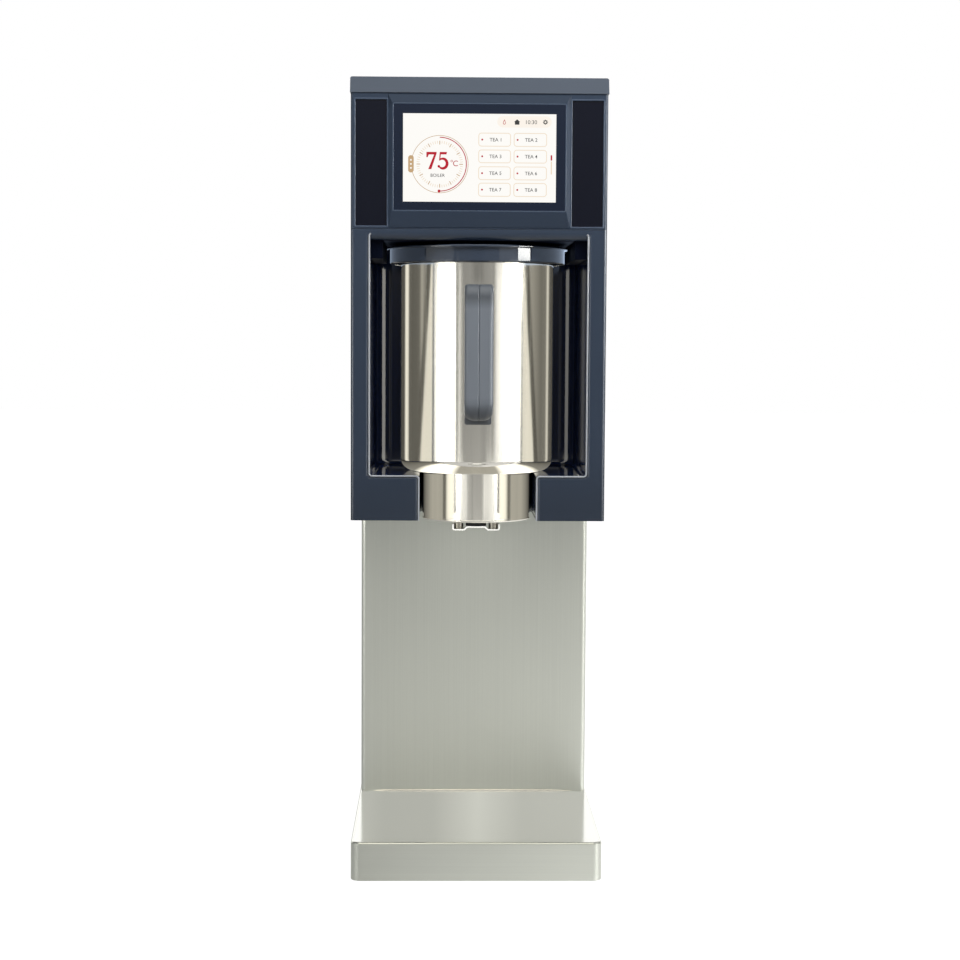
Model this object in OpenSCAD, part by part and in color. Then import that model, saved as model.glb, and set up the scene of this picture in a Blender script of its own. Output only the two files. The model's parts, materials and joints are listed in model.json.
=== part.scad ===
// Tea brewer: dark head with a touch screen and a brewing bay, on a steel column and base
// Millimetres, +Z up, front towards -Y, origin under the middle of the whole machine

/* [Heights] */
// Height of the rubber feet below the base cover
foot_h = 3; // [2:0.5:8]
// Height of the base cover
base_h = 40; // [30:1:60]
// Height of the column between base and head
column_h = 326; // [280:1:400]
// Height of the floor slab under the pot
slab_h = 45.5; // [40:0.5:48]
// Height of the strip between bay opening and display frame
strip_h = 11.5; // [10:0.5:20]
// Height of the top cover
cap_h = 16.4; // [12:0.2:24]

/* [Widths and depths] */
// Width of each fascia stile beside the bay
stile_w = 19; // [16:0.5:30]
// Free width between lid lip and bay wall
bay_gap = 15.5; // [10:0.5:25]
// Free depth between lid lip and bay back
bay_rear_gap = 1.5; // [1:0.1:6]
// Inset of the column from the head on each side
column_inset = 3; // [1:0.5:10]
// Inset of the base from the head on each side
base_inset = 1.5; // [0.5:0.5:10]
// Distance from the fascia front to the pot axis
pot_inset = 94; // [90:1:110]
// Distance from the fascia front to the column front
column_setback = 190; // [180:1:200]
// Depth of the service chamber behind the bay
service_d = 206.5; // [190:0.5:260]
// Reach of the base in front of the fascia
base_reach = 34; // [34:1:80]
// Reach of the water inlet behind the rear panel
inlet_reach = 20; // [14:1:30]

/* [Walls] */
// Sheet thickness of covers and panels
sheet_t = 1.2; // [0.8:0.1:2]
// Sheet thickness of the base cover
base_t = 1.5; // [1:0.1:3]
// Thickness of the base plate, head deck and uprights
plate_t = 2; // [1.5:0.1:3]
// Front wall of the fascia mouldings
fascia_t = 5; // [4.5:0.5:8]
// Side wall of the fascia mouldings
return_t = 3; // [2:0.5:4]
// Depth of the fascia side returns
return_d = 22; // [15:1:40]
// Wall of the bay mouldings
liner_t = 2.5; // [2:0.1:4]
// Wall of the top cover
cap_t = 2.4; // [1.5:0.1:4]
// Radius of the vertical base corners
base_corner_r = 10; // [6:0.5:20]
// Radius of the base top edge
base_edge_r = 2.5; // [1.6:0.1:5]
// Bend radius of the column front edges
column_edge_r = 5; // [3:0.5:12]
// Radius of the fascia outer edges
fascia_edge_r = 3.5; // [1:0.5:4.5]
// Radius of the bay opening at the sides and the notch
mouth_side_r = 4; // [2:0.5:4.5]
// Radius of the bay opening at the top
mouth_top_r = 8; // [4:0.5:10]
// Radius of the bay floor front edge
mouth_floor_r = 3; // [2:0.5:4.5]
// Radius of the bay back corners
bay_corner_r = 18; // [12:1:40]
// Radius of the cove along the bay floor
cove_r = 6; // [3:0.5:10]

/* [Brew pot] */
// Outer radius of the vessel
pot_r = 81; // [70:0.5:86]
// Wall of the vessel
pot_t = 1.2; // [0.8:0.1:2]
// Height of the vessel
vessel_h = 229.2; // [200:0.2:260]
// Radius of the vessel bottom corner
pot_corner_r = 14; // [8:0.5:16]
// Radius where the drain cone starts
cone_r = 50; // [40:1:54]
// Drop of the drain cone
cone_drop = 14; // [10:0.5:15]
// Outer radius of the drain skirt
skirt_r = 57.7; // [56:0.1:60]
// Height of the drain skirt
skirt_h = 51.7; // [48:0.1:60]
// Outer radius of the lid skirt
lid_r = 92.5; // [90.5:0.5:100]
// Overhang of the lid lip
lid_lip = 3; // [1:0.5:6]
// Thickness of the lid top
lid_t = 4.3; // [3:0.1:6]
// Height of the lid skirt
lid_skirt_h = 17.3; // [10:0.1:22]
// Radius of the lid mouth
lid_mouth_r = 62; // [50:1:70]
// Thickness of the lid seal
seal_t = 2; // [1:0.5:4]
// Gap between lid and bay ceiling
lid_gap = 3.7; // [3:0.1:10]
// Radius of a strainer hole
strainer_hole_r = 1.6; // [1:0.1:2]
// Rings of strainer holes
strainer_rings = 5; // [3:1:6]

/* [Handle] */
// Width of the handle
handle_w = 29; // [24:0.5:34]
// Height of the handle
handle_h = 137.5; // [110:0.5:150]
// Distance from the vessel rim to the top of the handle
handle_drop = 34.5; // [25:0.5:50]
// Reach of the handle from the vessel
handle_reach = 46; // [40:0.5:46]
// Thickness of the grip
grip_t = 13; // [10:0.5:15]
// Thickness of the handle bracket
bracket_t = 4; // [3:0.5:6]
// Reach of the bracket below the handle
bracket_tail = 5; // [2:0.5:10]

/* [Drain valve] */
// Radius of the outlet bore
outlet_r = 7; // [5:0.5:8]
// Wall of the outlet nozzle
nozzle_t = 2.5; // [1.5:0.1:3]
// Radius of the valve stem
stem_r = 2; // [1.5:0.1:2.5]
// Radius of a bridge post
post_r = 5; // [4.5:0.1:6]
// Distance of each bridge post from the pot axis
post_x = 18.5; // [18:0.1:24]
// Depth of the lift bridge
bridge_d = 16; // [13:0.5:24]
// Thickness of the lift bridge
bridge_t = 1.8; // [1.2:0.1:2.5]
// Rise of the bridge middle over its ends
bridge_rise = 3; // [1:0.5:5]
// Height of the upturned bridge ends
bridge_leg = 7; // [4:0.5:8]
// Drop of the bridge ends below the skirt
bridge_drop = 13; // [12:0.5:18]
// Travel of the lift bridge
drain_travel = 5; // [3:0.5:6]

/* [Screen] */
// Width of the lit screen
screen_w = 154.2; // [140:0.2:160]
// Height of the lit screen
screen_h = 88; // [80:0.5:100]
// Glass margin at each side of the screen
glass_side = 11; // [8:0.5:14]
// Glass margin above the screen
glass_top = 11; // [8:0.5:20]
// Glass margin below the screen
glass_bottom = 10; // [8:0.5:20]
// Glass thickness
glass_t = 2; // [1:0.1:3]
// Width of the bezel slope at each side
bezel_side = 4.2; // [2:0.1:6]
// Width of the bezel slope at the top
bezel_top = 9; // [4:0.5:14]
// Width of the bezel slope at the bottom
bezel_bottom = 16; // [6:0.5:24]
// Rise of the glass over the display frame
bezel_rise = 4; // [3.2:0.1:8]
// Margin between side panel and head edge
panel_margin = 4; // [3:0.5:8]
// Thickness of the side panels
panel_t = 2.5; // [1.5:0.1:3]

/* [Water system] */
// Radius of the boiler tank
boiler_r = 70; // [55:1:72]
// Height of the boiler tank
boiler_h = 220; // [160:1:240]
// Thickness of the insulation jacket
jacket_t = 14; // [8:1:16]
// Height of the boiler stand
stand_h = 34; // [26:1:50]
// Outer radius of the hoses
hose_r = 7; // [5.5:0.1:8]
// Radius of the hose nipples
nipple_r = 4.5; // [3.5:0.1:4.8]
// Bend radius of the hoses
bend_r = 20; // [16:1:26]
// Radius of the pump housing
pump_r = 34; // [30:1:40]
// Height of the pump housing
pump_h = 26; // [20:1:34]
// Radius of the pump motor
motor_r = 26; // [20:1:30]
// Height of the pump motor
motor_h = 58; // [45:1:70]
// Radius of the pump shaft
shaft_r = 3; // [2:0.1:5]
// Radius of the inlet thread
inlet_r = 13.2; // [10:0.1:14]
// Radius of the plunger
plunger_r = 5; // [4:0.1:6]
// Lift of the plunger
plunger_lift = 3; // [2:0.5:4]

/* [Rear fittings] */
// Height of the water inlet above the base cover
inlet_up = 67; // [55:1:100]
// Distance of the inlet and the switch from the middle
rear_x = 85; // [75:1:92]
// Radius of the cord hole in the gland
cord_r = 5; // [3:0.5:6]
// Tilt of the power rocker at rest
rocker_tilt = 10; // [6:1:12]

/* [Hidden] */
$fn = 96;

// Clearances: seated pieces, running fits, flat seams and cutting overshoot
seat_gap = 0.15;
run_gap = 0.06;
seam = 0.3;
cut = 1;

// Levels from the floor up
z_base = foot_h;
plate_lift = 1;
z_plate = z_base + plate_lift;
z_column = z_base + base_h;
z_head = z_column + column_h;
z_floor = z_head + slab_h;
z_pot = z_floor + seam;
z_rim = z_pot + vessel_h;
z_lid = z_rim + seal_t;
z_lid_top = z_lid + lid_t;
z_ceiling = z_lid_top + lid_gap;
z_frame = z_ceiling + strip_h;
frame_edge = 1;
frame_h = bezel_bottom + glass_bottom + screen_h + glass_top + bezel_top + 2 * frame_edge;
z_cap = z_frame + frame_h;
z_top = z_cap + cap_h;
z_glass = z_frame + frame_edge + bezel_bottom;
z_screen = z_glass + glass_bottom;
z_skirt = z_pot - skirt_h;

// Plan from the fascia back
lip_r = lid_r + lid_lip;
bay_half = lip_r + bay_gap;
head_w = 2 * (bay_half + stile_w);
column_w = head_w - 2 * column_inset;
base_w = head_w - 2 * base_inset;
bay_d = pot_inset + lip_r + bay_rear_gap;
head_d = bay_d + liner_t + service_d;
total_d = base_reach + head_d + inlet_reach;
y_front = -total_d / 2;
y_fascia = y_front + base_reach;
y_rear = y_fascia + head_d;
y_pot = y_fascia + pot_inset;
y_column = y_fascia + column_setback;
y_bay = y_fascia + fascia_t;
y_back = y_fascia + bay_d;
y_service = y_back + liner_t;
y_boiler = (y_service + y_rear) / 2;
y_panel = y_rear - sheet_t;
notch_gap = 2.3;
notch_half = skirt_r + notch_gap;

// Shared patterns
flange_w = 14;
screw_r = 1.5;
screw_gap = 0.25;
screw_tail = 3;
screw_head_r = 3.2;
screw_head_h = 2;
screw_dome_r = 6;
column_screw_end = 24;
head_screw_end = 40;
foot_r = 14;
foot_taper = 2;
foot_hollow_r = 4;
foot_hollow_h = 1;
foot_inset = 38;
foot_hole_r = 5;
foot_grip_w = 1.5;
foot_grip_h = 1.8;
vent_x = 42;
vent_w = 60;
vent_h = 4;
vent_pitch = 11;
vent_drop = 130;
vent_rise = 60;
foot_places = [for (x = [-1, 1]) for (y = [y_front + foot_inset, y_rear - foot_inset])
  [x * (base_w / 2 - foot_inset), y]];
column_screw_pitch = (column_h - 2 * column_screw_end) / 2;
column_screws = [for (x = [-1, 1]) for (k = [0:2])
  [x * (column_w / 2 - sheet_t - flange_w / 2), z_column + column_screw_end + k * column_screw_pitch]];
head_screw_pitch = (z_cap - z_head - 2 * head_screw_end) / 2;
head_screws = [for (x = [-1, 1]) for (k = [0:2])
  [x * (head_w / 2 - sheet_t - flange_w / 2), z_head + head_screw_end + k * head_screw_pitch]];

// Display and side panels
bezel_half = screen_w / 2 + glass_side + bezel_side;
bezel_lip = 0.8;
glass_corner_r = 1.5;
module_edge = 5.5;
module_half = screen_w / 2 + module_edge;
module_back = 3;
panel_in = bezel_half + seam;
panel_out = head_w / 2 - panel_margin;
panel_low = z_frame + 2;
panel_high = z_cap - 6;
panel_recess = 0.7;
panel_corner_r = 1;

// Water route
pump_x = -25;
pump_foot_h = 6;
z_motor = z_column + pump_foot_h;
z_pump = z_motor + motor_h;
z_inlet = z_column + inlet_up;
z_boiler = z_head + plate_t + stand_h;
z_boiler_lid = z_boiler + boiler_h;
boiler_t = 1.5;
boiler_lid_t = 4;
boiler_corner_r = 16;
boiler_floor_r = boiler_r - boiler_corner_r;
boiler_flange = 8;
nipple_t = 1.5;
nipple_h = 14;
hose_over = 12;
rotor_gap = 9;
rotor_r = pump_r - rotor_gap;
shaft_depth = 40;
volute_wall = 5;
volute_r = pump_r - volute_wall;
pump_lug = 12;
pump_side = pump_r - pump_lug;
pump_t = 5;
z_volute = z_pump + pump_t;
volute_h = pump_h - 2 * pump_t;
z_pump_out = z_volute + volute_h / 2;
pump_in_top = z_pump + pump_h + nipple_h;
pump_out_end = pump_x - pump_r - nipple_h;
brew_inset = 22;
brew_x = brew_inset - head_w / 2;
spray_r = 44;
spray_h = 18;
z_spray = z_ceiling + liner_t;
z_brew = z_spray + spray_h + nipple_h + 2 * bend_r;
valve_back = 38;
valve_y = y_panel - valve_back;
valve_w = 36;
valve_top = z_inlet + valve_w / 2;
inlet_wall = 4;
inlet_nut = 4;
inlet_tail = 2;
plunger_end = rear_x - nipple_r;
plunger_len = 46;
plunger_rest = 1;
tube_wall = 2;
tube_end = plunger_end - plunger_len - plunger_lift - plunger_rest - tube_wall;
supply_turn = 2 * bend_r + 4;
supply_x = rear_x - supply_turn;
supply_y = valve_y - supply_turn - y_boiler;
z_supply = z_boiler_lid + boiler_lid_t + nipple_h + 2 * bend_r;

// Heater and probes in the boiler
heater_x = 12;
heater_gap = 22;
heater_r = boiler_r - heater_gap;
heater_wire = 4;
heater_leg = 3;
heater_y = sqrt(heater_r * heater_r - heater_x * heater_x);
probe_back = 30;
probe_depth = 120;
level_full = 60;
level_low = 150;
probe_y = -probe_back;
probe_pitch = 14;
probe_r = 2.5;
probe_nut_r = 5;
probe_nut_h = 7;

// Rear electrics
gland_thread_r = cord_r + 3;
switch_w = 22;
switch_h = 30;
z_switch = z_inlet + 60;
rocker_len = 22;
rocker_half = 7;
pin_r = 2;
pin_len = 2;
y_pivot = y_rear - 3;

// Pot details
rim_t = 1.5;
rim_w = 3;
handle_top = z_rim - handle_drop;
handle_low = handle_top - handle_h;
y_pot_front = y_pot - pot_r;
y_bracket = y_pot_front - bracket_t;
y_grip = y_pot_front - handle_reach;
top_arm = 15;
low_arm = 17;
z_cone = z_pot - cone_drop;
nozzle_r = outlet_r + nozzle_t;
skirt_bead = 1.6;
bead_over = 0.4;
z_guide = z_skirt + 2 * skirt_bead + seam;
guide_t = 3;
tube_drop = 3;
z_tube_top = z_cone - tube_drop;
tube_cap = 2;
tube_t = 2;
spring_room = 8;
post_top = z_tube_top - tube_cap - drain_travel - spring_room;
z_bridge = z_skirt - bridge_drop;
bridge_half = post_x + post_r + seat_gap + bridge_t;
plug_low = z_cone + pot_t + seam;
plug_h = 6;
stem_hold = 4;
spring_wire = 0.6;
spring_gap = 0.1;
spring_r = post_r - 1.6;
spring_turns = 5;
spring_low = post_top + spring_wire + spring_gap;
spring_high = z_tube_top - tube_cap - spring_wire - spring_gap;
coil_steps = 8 * spring_turns;
coil_sides = 6;
coil_gap = (spring_high - spring_low) / spring_turns - 2 * spring_wire;
echo(least_gap_between_spring_turns = coil_gap);

// General shapes
module rect(x0, y0, x1, y1) {
  translate([x0, y0]) square([x1 - x0, y1 - y0]);
}

module up(z0, z1) {
  translate([0, 0, z0]) linear_extrude(z1 - z0) children();
}

module along_x(x0, x1) {
  translate([x0, 0, 0]) rotate([90, 0, 90]) linear_extrude(x1 - x0) children();
}

module along_y(y0, y1) {
  translate([0, y1, 0]) rotate([90, 0, 0]) linear_extrude(y1 - y0) children();
}

module mirrored() {
  children();
  mirror([1, 0, 0]) children();
}

// Rectangle with its own radius on the low and the high side of its second axis
module tablet(x0, y0, x1, y1, r_low, r_high) {
  rect(x0, y0 + r_low, x1, y1 - r_high);
  if (r_low > 0) {
    rect(x0 + r_low, y0, x1 - r_low, y0 + r_low);
    for (x = [x0 + r_low, x1 - r_low]) translate([x, y0 + r_low]) circle(r_low);
  }
  if (r_high > 0) {
    rect(x0 + r_high, y1 - r_high, x1 - r_high, y1);
    for (x = [x0 + r_high, x1 - r_high]) translate([x, y1 - r_high]) circle(r_high);
  }
}

module rounded(w, d, r) {
  tablet(-w / 2, -d / 2, w / 2, d / 2, r, r);
}

// What a rounded edge takes away from a square corner at the origin
module edge_waste(r) {
  difference() {
    rect(-cut, -cut, r, r);
    translate([r, r]) circle(r);
  }
}

// What a cove adds in a square corner at the origin, rooted in the wall behind it
module cove_fill(r) {
  difference() {
    rect(-liner_t / 2, 0, r, r);
    translate([r, r]) circle(r);
  }
}

// Block with rounded vertical corners and a rounded top edge
module soft_top_block(w, d, h, r, edge) {
  up(0, h - edge) rounded(w, d, r);
  up(h - edge, h) rounded(w - 2 * edge, d - 2 * edge, r - edge);
  for (x = [-1, 1]) {
    translate([x * (w / 2 - edge), d / 2 - r, h - edge])
      rotate([90, 0, 0]) cylinder(r = edge, h = d - 2 * r);
    for (y = [-1, 1]) translate([x * (w / 2 - r), y * (d / 2 - r), h - edge])
      rotate_extrude() translate([r - edge, 0]) circle(edge);
  }
  for (y = [-1, 1]) translate([r - w / 2, y * (d / 2 - edge), h - edge])
    rotate([0, 90, 0]) cylinder(r = edge, h = w - 2 * r);
}

module tube(r, bore, h) {
  difference() {
    cylinder(r = r, h = h);
    translate([0, 0, -cut]) cylinder(r = bore, h = h + 2 * cut);
  }
}

module vent_slot(w, h) {
  tablet(-w / 2, -h / 2, w / 2, h / 2, h / 2 - 0.01, h / 2 - 0.01);
}

// Straight runs and bends of a round hose along a list of corners
function unit(v) = v / norm(v);
function turn_at(p, i) = acos(unit(p[i] - p[i - 1]) * unit(p[i + 1] - p[i]));
function trim_at(p, i) = i == 0 || i == len(p) - 1 ? 0 : bend_r * tan(turn_at(p, i) / 2);

module run(a, b, r) {
  d = unit(b - a);
  translate(a) rotate([0, acos(d.z), atan2(d.y, d.x)]) cylinder(r = r, h = norm(b - a));
}

module elbow(p, i, r) {
  d1 = unit(p[i] - p[i - 1]);
  d2 = unit(p[i + 1] - p[i]);
  inward = unit(d2 - d1 * (d1 * d2));
  c = p[i] - d1 * trim_at(p, i) + inward * bend_r;
  e3 = cross(-inward, d1);
  multmatrix([
    [-inward.x, d1.x, e3.x, c.x],
    [-inward.y, d1.y, e3.y, c.y],
    [-inward.z, d1.z, e3.z, c.z],
    [0, 0, 0, 1]
  ]) rotate_extrude(angle = turn_at(p, i)) translate([bend_r, 0]) circle(r);
}

module hose_path(p, r) {
  for (i = [0:len(p) - 2]) {
    d = unit(p[i + 1] - p[i]);
    run(p[i] + d * trim_at(p, i), p[i + 1] - d * trim_at(p, i + 1), r);
  }
  for (i = [1:1:len(p) - 2]) elbow(p, i, r);
}

module hose(p) {
  difference() {
    hose_path(p, hose_r);
    hose_path(p, nipple_r + seat_gap);
  }
}

// Base
module base_cover() {
  d = y_rear - y_front;
  color("silver") translate([0, (y_front + y_rear) / 2, z_base]) difference() {
    soft_top_block(base_w, d, base_h, base_corner_r, base_edge_r);
    up(-cut, base_h - base_t)
      rounded(base_w - 2 * base_t, d - 2 * base_t, base_corner_r - base_t);
  }
}

module base_plate() {
  w = base_w - 2 * (base_t + seat_gap);
  d = y_rear - y_front - 2 * (base_t + seat_gap);
  r = base_corner_r - base_t - seat_gap;
  lip = 12;
  color("gray") difference() {
    translate([0, (y_front + y_rear) / 2, z_plate]) difference() {
      up(0, lip) rounded(w, d, r);
      up(plate_t, lip + cut) rounded(w - 2 * plate_t, d - 2 * plate_t, r - plate_t);
    }
    for (p = foot_places) translate([p.x, p.y, 0]) cylinder(r = foot_hole_r, h = z_base + lip);
  }
}

module rubber_feet() {
  shank = foot_hole_r - seat_gap;
  z_grip = z_plate + plate_t + seat_gap;
  color("black") for (p = foot_places) translate([p.x, p.y, 0]) rotate_extrude() {
    polygon([[0, foot_hollow_h], [foot_hollow_r, foot_hollow_h], [foot_hollow_r + foot_hollow_h, 0],
      [foot_r - foot_taper, 0], [foot_r, z_plate], [0, z_plate]]);
    rect(0, z_plate, shank, z_grip);
    rect(0, z_grip, shank + foot_grip_w, z_grip + foot_grip_h);
  }
}

// Column
module column_cover() {
  inner = column_w / 2 - sheet_t;
  color("lightgray") difference() {
    up(z_column, z_head) difference() {
      tablet(-column_w / 2, y_column, column_w / 2, y_panel, column_edge_r, 0);
      tablet(-inner, y_column + sheet_t, inner, y_panel - sheet_t, column_edge_r - sheet_t, 0);
      rect(flange_w - inner, y_panel - sheet_t - cut, inner - flange_w, y_panel + cut);
    }
    along_y(y_panel - 2 * sheet_t, y_panel + cut) screw_holes(column_screws);
  }
}

module column_uprights() {
  outer = column_w / 2 - sheet_t - seat_gap;
  web = 20;
  depth = 30;
  setback = 12;
  y0 = y_column + setback;
  color("gray") up(z_column, z_head) mirrored() difference() {
    rect(outer - web, y0, outer, y0 + depth);
    rect(outer - web - cut, y0 + plate_t, outer - plate_t, y0 + depth - plate_t);
  }
}

module rear_vents(z0, rows) {
  for (k = [0:rows - 1]) for (x = [-1, 1])
    translate([x * vent_x, z0 + k * vent_pitch]) vent_slot(vent_w, vent_h);
}

module screw_holes(places) {
  for (p = places) translate(p) circle(screw_r + screw_gap);
}

module column_rear_panel() {
  color("lightgray") along_y(y_panel, y_rear) difference() {
    rect(-column_w / 2, z_column, column_w / 2, z_head);
    rear_vents(z_head - vent_drop, 8);
    screw_holes(column_screws);
    translate([rear_x, z_inlet]) circle(inlet_r + seat_gap);
    translate([-rear_x, z_inlet]) circle(gland_thread_r + seat_gap);
    translate([-rear_x, z_switch]) square([switch_w, switch_h] + 2 * seat_gap * [1, 1], center = true);
  }
}

// Head
module head_deck() {
  half = head_w / 2 - sheet_t - seam;
  hose_pass = 1;
  pump_pass = 3;
  color("gray") up(z_head, z_head + plate_t) difference() {
    rect(-half, y_column, half, y_panel - sheet_t - seam);
    translate([pump_x, y_boiler]) circle(hose_r + pump_pass);
    translate([brew_x, y_boiler - pump_side]) circle(hose_r + hose_pass);
    translate([rear_x, valve_y]) circle(hose_r + hose_pass);
  }
}

module head_cover() {
  inner = head_w / 2 - sheet_t;
  edge = 3;
  color("darkslategray") difference() {
    union() {
      along_y(y_fascia + return_d + seam, y_panel) difference() {
        tablet(-head_w / 2, z_head, head_w / 2, z_cap, 0, edge);
        tablet(-inner, z_head - cut, inner, z_cap - sheet_t, 0, edge - sheet_t);
      }
      along_y(y_panel - sheet_t, y_panel) difference() {
        rect(-inner, z_head, inner, z_cap - sheet_t);
        rect(flange_w - inner, z_head - cut, inner - flange_w, z_cap - sheet_t - flange_w);
      }
    }
    along_y(y_panel - 2 * sheet_t, y_panel + cut) screw_holes(head_screws);
  }
}

module head_rear_panel() {
  color("darkslategray") along_y(y_panel, y_rear) difference() {
    rect(-head_w / 2, z_head, head_w / 2, z_cap);
    rear_vents(z_head + vent_rise, 7);
    rear_vents(z_cap - vent_drop, 7);
    screw_holes(head_screws);
  }
}

module rear_screws() {
  shank = 2 * sheet_t + screw_tail;
  color("silver") for (p = concat(column_screws, head_screws))
    translate([p.x, y_rear, p.y]) rotate([-90, 0, 0]) {
      translate([0, 0, -shank]) cylinder(r = screw_r, h = shank + screw_head_h / 2);
      intersection() {
        cylinder(r = screw_head_r, h = screw_head_h);
        translate([0, 0, screw_head_h - screw_dome_r]) sphere(screw_dome_r);
      }
    }
}

module top_cover() {
  half = head_w / 2 + 0.6;
  inner = head_w / 2 - cap_t;
  nose = 1;
  slope = 5;
  edge = 2;
  color("slategray") difference() {
    intersection() {
      along_x(-half, half) polygon([[y_fascia - nose, z_cap], [y_fascia + slope, z_top],
        [y_rear, z_top], [y_rear, z_cap]]);
      along_y(y_fascia - 2 * nose, y_rear + cut) tablet(-half, z_cap, half, z_top, 0, edge);
    }
    along_x(-inner, inner) polygon([[y_fascia + cap_t, z_cap - cut],
      [y_fascia + slope + cap_t, z_top - cap_t], [y_rear - cap_t, z_top - cap_t],
      [y_rear - cap_t, z_cap - cut]]);
  }
}

module fascia_plan() {
  inner = head_w / 2 - return_t;
  difference() {
    tablet(-head_w / 2, y_fascia, head_w / 2, y_fascia + return_d, fascia_edge_r, 0);
    rect(-inner, y_bay, inner, y_fascia + return_d + cut);
  }
}

// Rounding of one upright edge of an opening, with the material on the outer side
module upright_waste(x, z0, z1, r) {
  mirrored() up(z0, z1) translate([x, y_fascia]) edge_waste(r);
}

module top_waste(x, r) {
  along_x(-x, x) translate([y_fascia, z_ceiling]) edge_waste(r);
}

module lower_fascia() {
  reach = bay_half + mouth_side_r;
  color([0.2, 0.23, 0.29]) difference() {
    up(z_head, z_frame - seam) fascia_plan();
    along_y(y_fascia - cut, y_bay + cut) {
      rect(-bay_half, z_floor, bay_half, z_ceiling);
      rect(-notch_half, z_head - cut, notch_half, z_floor + cut);
    }
    upright_waste(bay_half, z_floor, z_ceiling, mouth_side_r);
    upright_waste(notch_half, z_head - cut, z_floor + cut, mouth_side_r);
    top_waste(bay_half, mouth_top_r);
    intersection() {
      upright_waste(bay_half, z_ceiling - cut, z_ceiling + mouth_top_r, mouth_side_r);
      top_waste(reach, mouth_top_r);
    }
    mirrored() along_x(notch_half - cut, bay_half)
      translate([y_fascia, z_floor]) mirror([0, 1]) edge_waste(mouth_floor_r);
  }
}

module module_outline(gap) {
  rect(-module_half - gap, z_screen - module_edge - gap, module_half + gap,
    z_screen + screen_h + module_edge + gap);
}

module display_frame() {
  color([0.21, 0.24, 0.3]) difference() {
    up(z_frame, z_cap) fascia_plan();
    along_y(y_fascia - cut, y_bay + cut) module_outline(seat_gap);
    mirrored() along_y(y_fascia - cut, y_fascia + panel_recess + panel_t)
      rect(panel_in, panel_low, panel_out, panel_high);
  }
}

module screen_bezel() {
  low = z_frame + frame_edge;
  high = z_cap - frame_edge;
  glass_half = bezel_half - bezel_side;
  y0 = y_fascia - bezel_rise;
  color([0.22, 0.26, 0.31]) difference() {
    intersection() {
      up(low, high) polygon([[-bezel_half, y_fascia], [-glass_half, y0], [glass_half, y0],
        [bezel_half, y_fascia]]);
      along_x(-bezel_half, bezel_half) polygon([[y_fascia, low], [y0, z_glass],
        [y0, high - bezel_top], [y_fascia, high]]);
    }
    along_y(y0 - cut, y0 + glass_t)
      rect(bezel_lip - glass_half, z_glass + bezel_lip, glass_half - bezel_lip, high - bezel_top - bezel_lip);
    along_y(y0, y_fascia + cut) module_outline(seat_gap);
  }
}

module touch_glass() {
  inset = bezel_lip + seat_gap;
  half = bezel_half - bezel_side - inset;
  low = z_glass + inset;
  high = z_cap - frame_edge - bezel_top - inset;
  y0 = y_fascia - bezel_rise;
  color([0.13, 0.16, 0.23]) along_y(y0, y0 + glass_t)
    tablet(-half, low, half, high, glass_corner_r, glass_corner_r);
}

module display_module() {
  y0 = y_fascia - bezel_rise + glass_t;
  color("ghostwhite") along_y(y0, y_bay + module_back) module_outline(0);
}

module side_panel() {
  y0 = y_fascia + panel_recess;
  color([0.1, 0.11, 0.17]) along_y(y0, y0 + panel_t)
    tablet(panel_in + seat_gap, panel_low + seat_gap, panel_out - seat_gap, panel_high - seat_gap,
      panel_corner_r, panel_corner_r);
}

module side_panel_right() {
  side_panel();
}

module side_panel_left() {
  mirror([1, 0, 0]) side_panel();
}

// Brewing bay
module bay_plan(grow) {
  tablet(-bay_half - grow, y_bay, bay_half + grow, y_back + grow, 0, bay_corner_r + grow);
}

module slot_plan(grow) {
  half = notch_half + grow;
  rect(-half, y_fascia - cut, half, y_pot);
  translate([0, y_pot]) circle(half);
}

module bay_liner() {
  corner_x = bay_half - bay_corner_r;
  corner_y = y_back - bay_corner_r;
  color([0.04, 0.05, 0.1]) {
    difference() {
      up(z_floor, z_ceiling) bay_plan(liner_t);
      up(z_floor - cut, z_ceiling + cut) {
        bay_plan(0);
        rect(-bay_half, y_bay - cut, bay_half, y_bay + cut);
      }
    }
    mirrored() {
      along_y(y_bay, corner_y) translate([bay_half, z_floor]) mirror([1, 0]) cove_fill(cove_r);
      translate([corner_x, corner_y, z_floor]) rotate_extrude(angle = 90)
        translate([bay_corner_r, 0]) mirror([1, 0]) cove_fill(cove_r);
    }
    along_x(-corner_x, corner_x) translate([y_back, z_floor]) mirror([1, 0]) cove_fill(cove_r);
  }
}

module bay_floor() {
  color([0.05, 0.06, 0.11]) {
    up(z_floor - liner_t, z_floor) difference() {
      bay_plan(liner_t);
      slot_plan(0);
    }
    up(z_head + liner_t, z_floor - liner_t) intersection() {
      difference() {
        slot_plan(liner_t);
        slot_plan(0);
      }
      bay_plan(0);
    }
  }
}

module bay_ceiling() {
  rail_gap = 2.5;
  rail_rise = 3;
  rail_front = 4;
  rail_rear = 15;
  spray_gap = 0.5;
  rail_low = z_lid_top - lid_skirt_h + rail_rise;
  color([0.05, 0.06, 0.11]) {
    up(z_ceiling, z_ceiling + liner_t) difference() {
      bay_plan(liner_t);
      translate([0, y_pot]) circle(spray_r + spray_gap);
    }
    mirrored() up(rail_low, z_ceiling)
      rect(lip_r + rail_gap, y_bay + rail_front, bay_half - seam, y_back - bay_corner_r - rail_rear);
  }
}

module underside_cover() {
  half = head_w / 2 - return_t - seam;
  color([0.12, 0.14, 0.18]) up(z_head, z_head + liner_t) difference() {
    rect(-half, y_bay + seam, half, y_column - seam);
    slot_plan(0);
  }
}

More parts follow.
